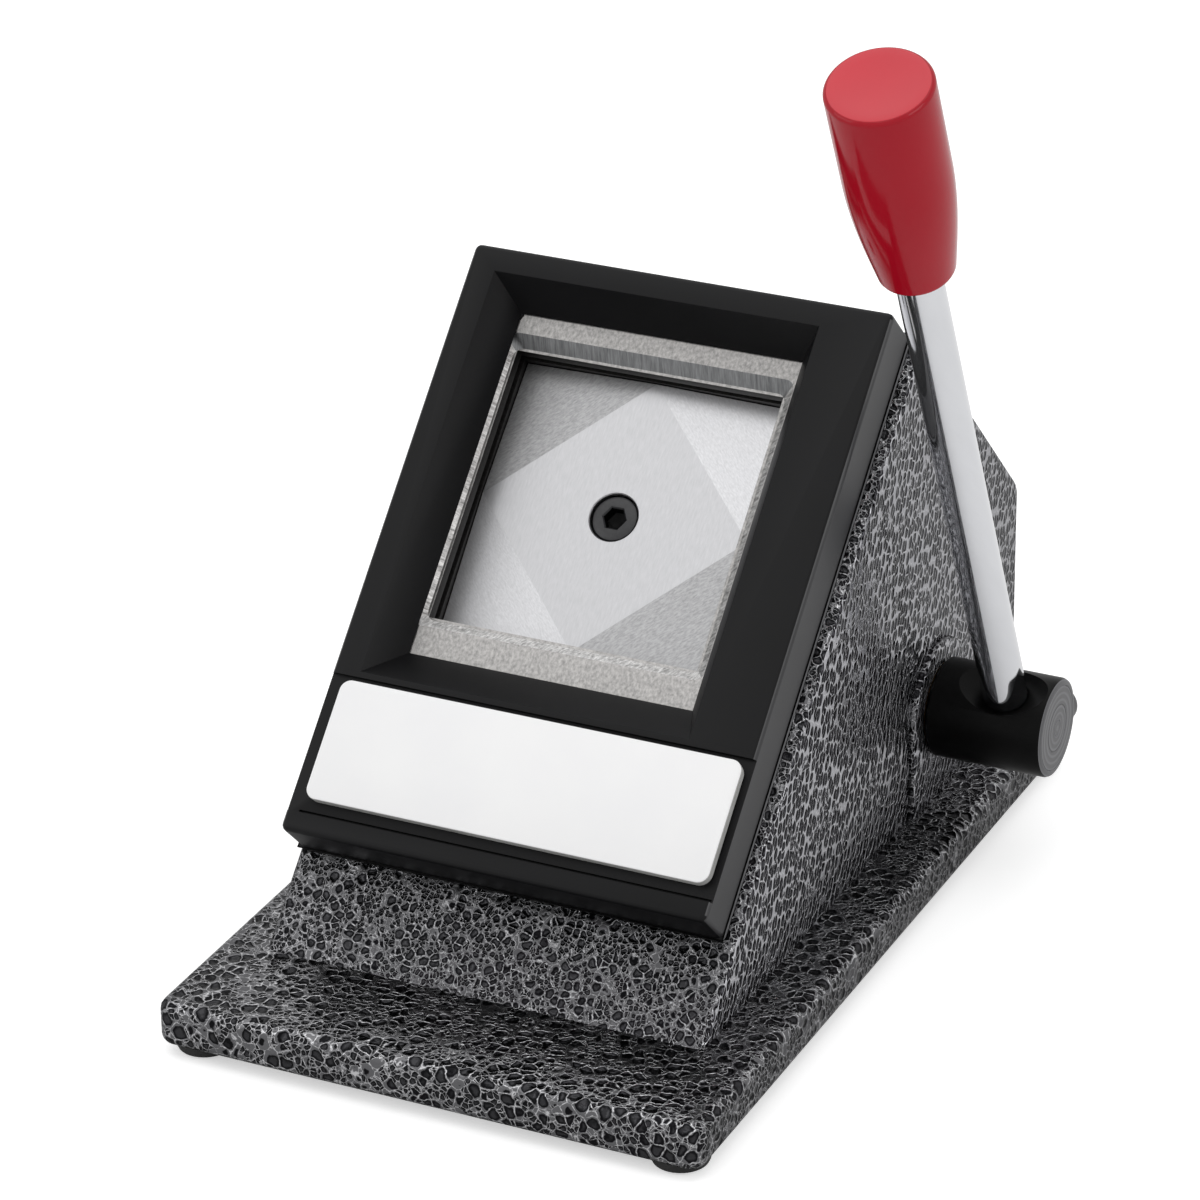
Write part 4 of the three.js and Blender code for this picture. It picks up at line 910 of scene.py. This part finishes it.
finish_faces(label, [LAMINATE_CORE], lambda face: 1 if (SLOPE.inverted() @ face.center).z < layer else 0)

# %% [markdown]
# ## Die plate
#
# A thick steel plate with the square opening that cuts the print. A milled bevel runs round the opening
# down to a narrow flat ledge. The opening and the bevel are cut with two blocks, the second one with
# its top drawn out and its corners rounded as the mill leaves them.

# %% Die plate
OPENING = 51
CENTRE = Vector((-5.8, 89))
LEDGE = 0.5
BEVEL_RUN = 1.9
BEVEL_DEPTH = 2.5
BEVEL_CORNER = 1.5
WORN_EDGE = 0.12
die = block("die_plate_milled", pocket_low, pocket_high)
round_edges(die, along(2), 1, 3)
reach = OPENING / 2
carve(die, block("tool", (CENTRE.x - reach, CENTRE.y - reach, -9),
                 (CENTRE.x + reach, CENTRE.y + reach, 9)))
reach += LEDGE
floor_at = pocket_high.z - BEVEL_DEPTH
cutter = block("tool", (CENTRE.x - reach, CENTRE.y - reach, floor_at),
               (CENTRE.x + reach, CENTRE.y + reach, pocket_high.z + 1))
spread = BEVEL_RUN * (BEVEL_DEPTH + 1) / BEVEL_DEPTH
pick(cutter, "VERT", lambda v: v.co.z > pocket_high.z)
bpy.ops.transform.resize(value=((reach + spread) / reach,) * 2 + (1,),
                         center_override=(CENTRE.x, CENTRE.y, pocket_high.z + 1))
done()
round_edges(cutter, lambda e: abs(e.verts[0].co.z - e.verts[1].co.z) > 1, BEVEL_CORNER, 5)
carve(die, cutter)
with_modifier(die, "BEVEL", width=WORN_EDGE, segments=2, limit_method="ANGLE",
              angle_limit=math.radians(30))
for spot in ("lower_left", "lower_right", "upper_left", "upper_right"):
    at = centre(f"die_screw_{spot}", SLOPE)
    carve(die, set_at(turned("tool", [(0, -5), (1.75, -5), (1.75, 0.9), (3.05, 2.5), (3.05, 4), (0, 4)],
                             24), at.x, at.y))
fit(die, SLOPE, "frame", "milled_steel", MILLED, "die_plate", smooth=25)
OUT = Vector((0, -1, 1)).normalized()
UP = Vector((0, 1, 1)).normalized()


def die_finish(face):
    """0 flat, 1 bevels beside and 2 bevel below in painted light, 3 bevel above and 4 the walls of the opening in
    painted shade.
    """
    tilt = face.normal.dot(OUT)
    here = SLOPE.inverted() @ face.center - CENTRE.to_3d()
    if tilt < 0.3:
        return 4 if max(abs(here.x), abs(here.y)) < OPENING / 2 + 0.4 else 0
    if tilt > 0.9:
        return 0
    lean_to = face.normal.dot(UP)
    return 1 if abs(lean_to) < 0.4 else 2 if lean_to > 0 else 3


finish_faces(die, [BEVEL_BESIDE_LIT, BEVEL_BELOW_HIGHLIGHT, BEVEL_ABOVE_SHADED, PAINTED_SHADE_WALL], die_finish)

# %% [markdown]
# ## Punch and its screw
#
# The punch is a square block. Its four corners are ground 1 mm lower, so that it cuts a little at a
# time, and its face is left as a diamond. The top face is subdivided once, the middles of its sides are
# joined, and the corners move down. The screw in the middle sits in a round counterbore.

# %% Punch
DROP = 1
SHARP = 0.08  # what the grinder leaves of an edge
SEAT = 4.45  # radius of the counterbore
SEAT_DEEP = 5.2
punch_low, punch_high = room("punch", SLOPE)
punch = block("punch_ground", punch_low, punch_high)
pick(punch, "EDGE", at_height(punch_high.z))
bpy.ops.mesh.subdivide(number_cuts=1)
done()
mid = (punch_low + punch_high) / 2


def at_middle(v):
    """A test for the corners in the middle of the four upper edges."""
    return near(v.co.z, punch_high.z) and (near(v.co.x, mid.x) or near(v.co.y, mid.y))


for turn in range(4):
    angle = math.radians(90 * turn + 45)
    pick(punch, "VERT", lambda v: at_middle(v)
         and (v.co.xy - mid.xy).dot(Vector((math.cos(angle), math.sin(angle)))) > 5)
    bpy.ops.mesh.vert_connect()
    done()
shift(punch, lambda v: v.co.z > punch_high.z - TOUCH and not at_middle(v), (0, 0, -DROP))
print("faces on the punch:", len(punch.data.polygons))
with_modifier(punch, "BEVEL", width=SHARP, segments=1, limit_method="ANGLE", angle_limit=math.radians(40))
bolt_low, bolt_high = room("punch_screw", SLOPE)
seat_at = bolt_high.z - SEAT_DEEP
carve(punch, set_at(turned("tool", [(0, punch_low.z - 1), (2.7, punch_low.z - 1), (2.7, seat_at),
                                    (SEAT, seat_at), (SEAT, punch_high.z - 0.2),
                                    (SEAT + 0.25, punch_high.z + 0.1), (SEAT + 0.25, punch_high.z + 1),
                                    (0, punch_high.z + 1)]), mid.x, mid.y))
fit(punch, SLOPE, "ram", "ground_steel", GROUND, "punch", smooth=1)


def corner_finish(face):
    """0 the diamond and the walls, 1 the corners painted paler, 2 those painted darker: painted light and shade.
    """
    if face.normal.dot(OUT) < 0.9 or face.normal.dot(OUT) > 0.9999:
        return 0
    lean_to = face.normal - OUT * face.normal.dot(OUT)
    return 2 if lean_to.x * lean_to.dot(UP) < 0 else 1


# The corners' brightness is painted light and shade.
finish_faces(punch, [GROUND_LIT, GROUND_SHADED], corner_finish)

# %% [markdown]
# A socket head screw is turned with a chamfered rim, and its six-sided hole is cut with a block of six
# sides. The same function makes every screw of the machine that can be seen, at its own size.

# %% Screws


def socket_screw(name, head, rise, shank, length, hexagon, chamfer):
    """Stands upright with the top of its head at zero."""
    tip = -rise - length
    screw = turned(name, [(0, tip), (shank - 0.3, tip), (shank, tip + 0.3), (shank, -rise),
                          (head - 0.1, -rise), (head, -rise + 0.1), (head, -chamfer),
                          (head - chamfer * 0.3, -chamfer * 0.3), (head - chamfer, 0), (0, 0)])
    hole = turned("tool", [(0, -rise * 0.62), (hexagon * 0.6, -rise * 0.58), (hexagon, -rise * 0.5),
                           (hexagon, -0.25), (hexagon + 0.35, 0.1), (hexagon + 0.35, 1), (0, 1)], 6)
    return carve(screw, hole)


def socket_painted_shade(face, under):
    """Tells whether a face lies in the six-sided hole, deeper than that height on the slope, where shade is
    painted.
    """
    here = SLOPE.inverted() @ face.center
    return here.z < under and (here.xy - mid.xy).length < 2.4


bolt = socket_screw("punch_screw_socket", 4.25, 5, 2.5, bolt_high.z - bolt_low.z - 5, 2.15, 0.75)
fit(bolt, SLOPE @ Matrix.Translation((mid.x, mid.y, bolt_high.z)), "ram", "black_screw", BLACK_SCREW,
    "punch_screw", smooth=25)
# The walls of the six-sided hole get the near-black blacked finish: painted shade in the hole.
finish_faces(bolt, [BLACKED], lambda face: 1 if socket_painted_shade(face, bolt_high.z - 0.3) else 0)

# %% [markdown]
# ## Feet
#
# A foot is a rubber ring with a rounded rim, held by a screw whose head lies in its recess. Both are
# turned once, at the bench, and copied for the other three corners. The screws go in from below, so
# they are turned over.

# %% Feet and their screws
low, high = room("foot_screw_front_left", MACHINE)
foot_screw = socket_screw("foot_screw", 2.8, 0.7, 1.5, high.z - low.z - 0.7, 1.05, 0.25)
foot_low, foot_high = room("foot_front_left", MACHINE)
TALL = foot_high.z - foot_low.z
RECESS_AT = 1.1 - TALL
rubber_foot = turned("foot", [
    (THREAD, 0), (THREAD, RECESS_AT), (3.2, RECESS_AT), (3.4, -TALL), (4.2, -TALL), (4.75, 0.25 - TALL),
    (5, 0.8 - TALL), (5, 0), (THREAD, 0)])
screws = copies(foot_screw, *[f"foot_screw_socket_{spot}" for spot in CORNERS])
feet = copies(rubber_foot, *[f"foot_rubber_{spot}" for spot in CORNERS])
for spot, at, screw, foot in zip(CORNERS, foot_screws, screws, feet):
    fit(screw, MACHINE @ Matrix.Translation((at.x, at.y, low.z)) @ Matrix.Rotation(math.pi, 4, "X"),
        "frame", "zinc_steel", ZINC, f"foot_screw_{spot}")
    fit(foot, MACHINE @ Matrix.Translation((at.x, at.y, foot_high.z)), "frame", "rubber", RUBBER,
        f"foot_{spot}")

# %% [markdown]
# ## Hub
#
# The hub is a turned collar on the shaft's end. It is spun from a profile, in which the outer end has a
# few shallow steps, where the lathe tool was lifted. Then a conical dish is cut in its top for the rod
# to stand in, with the holes for the shaft, the rod and the lock screw at its back.

# %% Hub
HUB = 9
DISH = 8.2  # radius of the dish where it meets the hub's top
DISH_TILT = math.tan(math.radians(59))
ROD_HOLE = 3.2
SHAFT_HOLE = 5.2
hub_low, hub_high = room("lever_hub", LEVER)
LONG = hub_high.x - hub_low.x
hub = turned("hub_turned", [
    (0, 0), (HUB - 0.6, 0), (HUB, 0.6), (HUB, LONG - 0.75), (HUB - 0.22, LONG - 0.22), (HUB - 0.75, LONG),
    (HUB - 1.2, LONG), (HUB - 1.3, LONG - 0.12), (HUB - 1.45, LONG), (4.4, LONG), (4.3, LONG - 0.1),
    (4.15, LONG), (1.6, LONG), (1.5, LONG - 0.1), (1.35, LONG), (0, LONG)], 72)
moved(hub, Matrix.Translation((hub_low.x, 0, 0)) @ ALONG_X)
rod_low, rod_high = room("lever_rod", LEVER)
rod_x = (rod_low.x + rod_high.x) / 2
on_rod = Matrix.Translation((rod_x, 0, 0))
point = HUB - DISH / DISH_TILT
carve(hub, moved(turned("tool", [(0, point), ((HUB + 2 - point) * DISH_TILT, HUB + 2), (0, HUB + 2)], 64),
                 on_rod),
      moved(pin("tool", SHAFT_HOLE, hub_low.x - 1, hub_high.x - 2.4), ALONG_X),
      moved(pin("tool", ROD_HOLE, -3.2, 9, 32), on_rod))
LOCK_TURN = math.radians(-8 - 90) - LEAN  # 8 degrees below level at the back, whatever the lean
lock_place = (Matrix.Translation((centre("hub_lock_screw", LEVER).x, 0, 0))
              @ Matrix.Rotation(LOCK_TURN, 4, "X"))
carve(hub, moved(turned("tool", [(0, 3), (2.2, 3), (2.2, 8.4), (3.5, 8.4), (3.5, 14), (0, 14)], 32),
                 lock_place))
fit(hub, LEVER, "lever", "black_oxide", BLACKED, "lever_hub", smooth=30)
end_at = hub_high.x - 0.8
finish_faces(hub, [FACED_END],
             lambda face: 1 if face.normal.x > 0.5 and (LEVER.inverted() @ face.center).x > end_at else 0)
lock = socket_screw("hub_lock_socket", 3.3, 4.2, 2, 3.2, 1.6, 0.5)
fit(lock, LEVER @ lock_place @ Matrix.Translation((0, 0, 12.8)), "lever", "black_screw", BLACK_SCREW,
    "hub_lock_screw", smooth=25)

# %% [markdown]
# ## Rod and grip
#
# The rod is drawn round bar with a tenon that goes into the hub, and the grip is a turned knob pushed
# on its top. Both are spun from a profile. The grip swells from a narrow foot to its full width in one
# smooth curve, a quarter of a sine, and its rims are rounded. Phenolic shrinks as it cures, so the end
# face sinks a little in the middle, which bends the light on it.

# %% Rod and grip
BAR = 4
TENON = 3
rod = turned("rod_chromed", [
    (0, -3), (TENON - 0.3, -3), (TENON, -2.7), (TENON, 6.5), (BAR - 0.25, 6.5), (BAR, 6.75),
    (BAR, rod_high.z - 0.4), (BAR - 0.4, rod_high.z), (0, rod_high.z)], 64)
fit(rod, LEVER @ on_rod, "lever", "chrome", CHROME, "lever_rod")

GRIP = 9
GRIP_FOOT = 6.6
FULL_AT = 136  # from the shaft's axis, where the grip reaches its full width
ROUND = 0.9
HOLLOW = 0.45
BORE = 4.2
BORE_END = 11  # below the top
grip_low, grip_high = room("grip", LEVER)
foot_z, top_z = grip_low.z, grip_high.z
swell_z = foot_z + ROUND
curve = [(GRIP_FOOT + (GRIP - GRIP_FOOT) * math.sin(part * math.pi / 2),
          swell_z + (FULL_AT - swell_z) * part) for part in (k / 12 for k in range(1, 13))]
edge = [(GRIP - ROUND + ROUND * math.cos(a), top_z - ROUND + ROUND * math.sin(a))
        for a in (math.radians(15 * k) for k in range(7))]
bottom = [(GRIP_FOOT - ROUND + ROUND * math.cos(a), foot_z + ROUND + ROUND * math.sin(a))
          for a in (math.radians(-90 + 18 * k) for k in range(6))]
dished = [(r, top_z - HOLLOW * math.cos(math.pi / 2 * r / (GRIP - ROUND))) for r in (6.6, 5, 3.3, 1.6, 0)]
grip = turned("grip_turned", [
    (BORE, top_z - BORE_END), (BORE, foot_z + 0.3), (BORE + 0.3, foot_z), *bottom, *curve, *edge, *dished,
    (0, top_z - BORE_END), (BORE, top_z - BORE_END)], 96)
fit(grip, LEVER @ on_rod, "lever", "red_grip", PHENOLIC, "grip", smooth=50)
ROD_UP = LEVER.col[2].to_3d().normalized()
# The end face gets the brighter red: painted light.
finish_faces(grip, [PHENOLIC_END_LIT], lambda face: 1 if face.normal.dot(ROD_UP) > 0.93 else 0)

# %% [markdown]
# ## Return springs
#
# Two springs of round wire push the ram back down. A circle of wire is wound by the Screw modifier, one
# turn at a time, and both ends are capped. They get shorter as the ram rises; here they are wound at
# the length of the CAD springs, and each keeps a mesh of its own.

# %% Return springs
WIRE = 0.7
TURNS = 7
COIL = 4.6
SIDES = ("side", "lower")
spring_low, spring_high = room("return_spring_side", SLOPE)
LENGTH = spring_high.z - spring_low.z
bpy.ops.object.select_all(action="DESELECT")
bpy.ops.mesh.primitive_circle_add(vertices=12, radius=WIRE, location=(COIL, 0, spring_low.z + WIRE),
                                  rotation=(math.pi / 2, 0, 0))
wound = settled(bpy.context.object)
with_modifier(wound, "SCREW", axis="Z", angle=2 * math.pi, iterations=TURNS, steps=24, render_steps=24,
              screw_offset=(LENGTH - 2 * WIRE) / TURNS, use_smooth_shade=True)
pick(wound, "EDGE", lambda e: e.is_boundary)
bpy.ops.mesh.edge_face_add()
done()
whole(wound)
for side, spring in zip(SIDES, copies(wound, *[f"spring_wound_{side}" for side in SIDES])):
    at = centre(f"return_spring_{side}", SLOPE)
    fit(spring, SLOPE @ Matrix.Translation((at.x, at.y, 0)), "frame", "spring_steel", SPRING_STEEL,
        f"return_spring_{side}")
    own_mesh(spring)

# %% [markdown]
# ## The rest of the frame
#
# Everything else keeps its CAD shape, which is already the real one: plates and rings inside the
# machine, bushes, shaft, cam and countersunk screws. Each gets the finish that its material slot asks
# for, apart from the guide plate and the print slot's spacer, which are painted near black as painted
# shade.

# %% Finishes for the CAD pieces
BY_SLOT = {"hammertone": FACE_PAINT, "black_plastic": BEZEL_ABS, "white_plastic": LAMINATE,
           "milled_steel": MILLED, "ground_steel": GROUND, "black_screw": BLACK_SCREW, "zinc_steel": ZINC,
           "bronze": BRONZE, "spring_steel": SPRING_STEEL, "black_oxide": BLACKED, "chrome": CHROME,
           "red_grip": PHENOLIC, "rubber": RUBBER}
# The guide plate and the print slot's spacer get the same painted shade.
IN_PAINTED_SHADE = ("guide_plate", "print_slot_spacer")
for entry in frame["record"]["subparts"]:
    piece = frame["nodes"][entry["node"]]
    finish = PAINTED_SHADE_WALL if entry["node"] in IN_PAINTED_SHADE else BY_SLOT[entry["material_slot"]]
    if not piece.material_slots:
        piece.data.materials.append(finish)
    for slot in piece.material_slots:
        slot.material = finish

# %% [markdown]
# ## Floor, backdrop and light
#
# The machine stands on a white table in a white room. The floor is pale and takes the soft shadow. A
# little white is added to it for the camera, so that it meets the background without a line, and a
# touch for mirrors.

# %% Floor
TO_CAMERA = 0.5
TO_MIRRORS = 0.1
bpy.ops.object.select_all(action="DESELECT")
bpy.ops.mesh.primitive_plane_add(size=12, location=(0, 0, cad_low.z - 0.0002))
floor = bpy.context.object
floor.name = "floor"
floor_paint = bpy.data.materials.new("floor_white")
floor_paint.use_nodes = True
tree = floor_paint.node_tree
tree.nodes.remove(tree.nodes["Principled BSDF"])
seen = add_node(tree, "ShaderNodeLightPath")
white = add_node(tree, "ShaderNodeBsdfDiffuse", {"Color": paint("#e6e6e6")})
glow = add_node(tree, "ShaderNodeEmission", {"Color": paint("#ffffff")})
to_camera = add_node(tree, "ShaderNodeMath", {1: TO_CAMERA}, {0: seen.outputs["Is Camera Ray"]},
                     operation="MULTIPLY")
mirrored = add_node(tree, "ShaderNodeMath", links={0: seen.outputs["Is Glossy Ray"],
                                                   1: seen.outputs["Is Transmission Ray"]})
level = add_node(tree, "ShaderNodeMath", {1: TO_MIRRORS},
                 {0: mirrored.outputs[0], 2: to_camera.outputs[0]}, operation="MULTIPLY_ADD")
tree.links.new(level.outputs[0], glow.inputs["Strength"])
total = add_node(tree, "ShaderNodeAddShader", links={0: white.outputs[0], 1: glow.outputs[0]})
tree.links.new(total.outputs[0], tree.nodes["Material Output"].inputs["Surface"])
floor.data.materials.append(floor_paint)
floor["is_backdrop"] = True
print("floor at", round(floor.location.z / MM, 2), "mm")

# %% [markdown]
# The world is plain white for the camera and for reflections, and weaker as a light, which leaves room
# for shadows. One large soft lamp hangs overhead and does most of the work. Two weak ones, in front on
# the left and on the right, lift the sides.

# %% World and lamps
AMBIENT = 0.65
LAMP_AIM = Vector((0, 0, 0.06))
world = bpy.data.worlds.new("white_room")
bpy.context.scene.world = world
world.use_nodes = True
tree = world.node_tree
back = tree.nodes["Background"]
seen = add_node(tree, "ShaderNodeLightPath")
shown = seen.outputs["Is Camera Ray"]
for ray in ("Is Glossy Ray", "Is Transmission Ray"):
    shown = add_node(tree, "ShaderNodeMath", links={0: shown, 1: seen.outputs[ray]},
                     operation="MAXIMUM").outputs[0]
strength = add_node(tree, "ShaderNodeMapRange", {"To Min": AMBIENT, "To Max": 1.0}, {"Value": shown})
back.inputs["Color"].default_value = paint("#ffffff")
tree.links.new(strength.outputs[0], back.inputs["Strength"])


def lamp(name, at, size, power):
    """A square soft lamp at a place in metres, aimed at the machine."""
    data = bpy.data.lights.new(name, "AREA")
    data.size = size
    data.energy = power
    item = bpy.data.objects.new(name, data)
    bpy.context.scene.collection.objects.link(item)
    item.location = at
    item.rotation_euler = (LAMP_AIM - Vector(at)).to_track_quat("-Z", "Y").to_euler()


lamp("key_overhead", (-0.25, 0.15, 1.8), 2.2, 13.2)
lamp("fill_left", (-1.2, -1.0, 0.8), 1.0, 3.6)
lamp("fill_right", (1.3, -0.3, 0.9), 0.8, 4)

# %% [markdown]
# ## Size
#
# The size of the dressed machine's box is printed, to set beside the CAD model's box.
# The dressed machine must stay inside the CAD model's box.

# %% Finish
low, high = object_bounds()
print("visual box in mm:", [round((b - a) / MM, 1) for a, b in zip(low, high)])
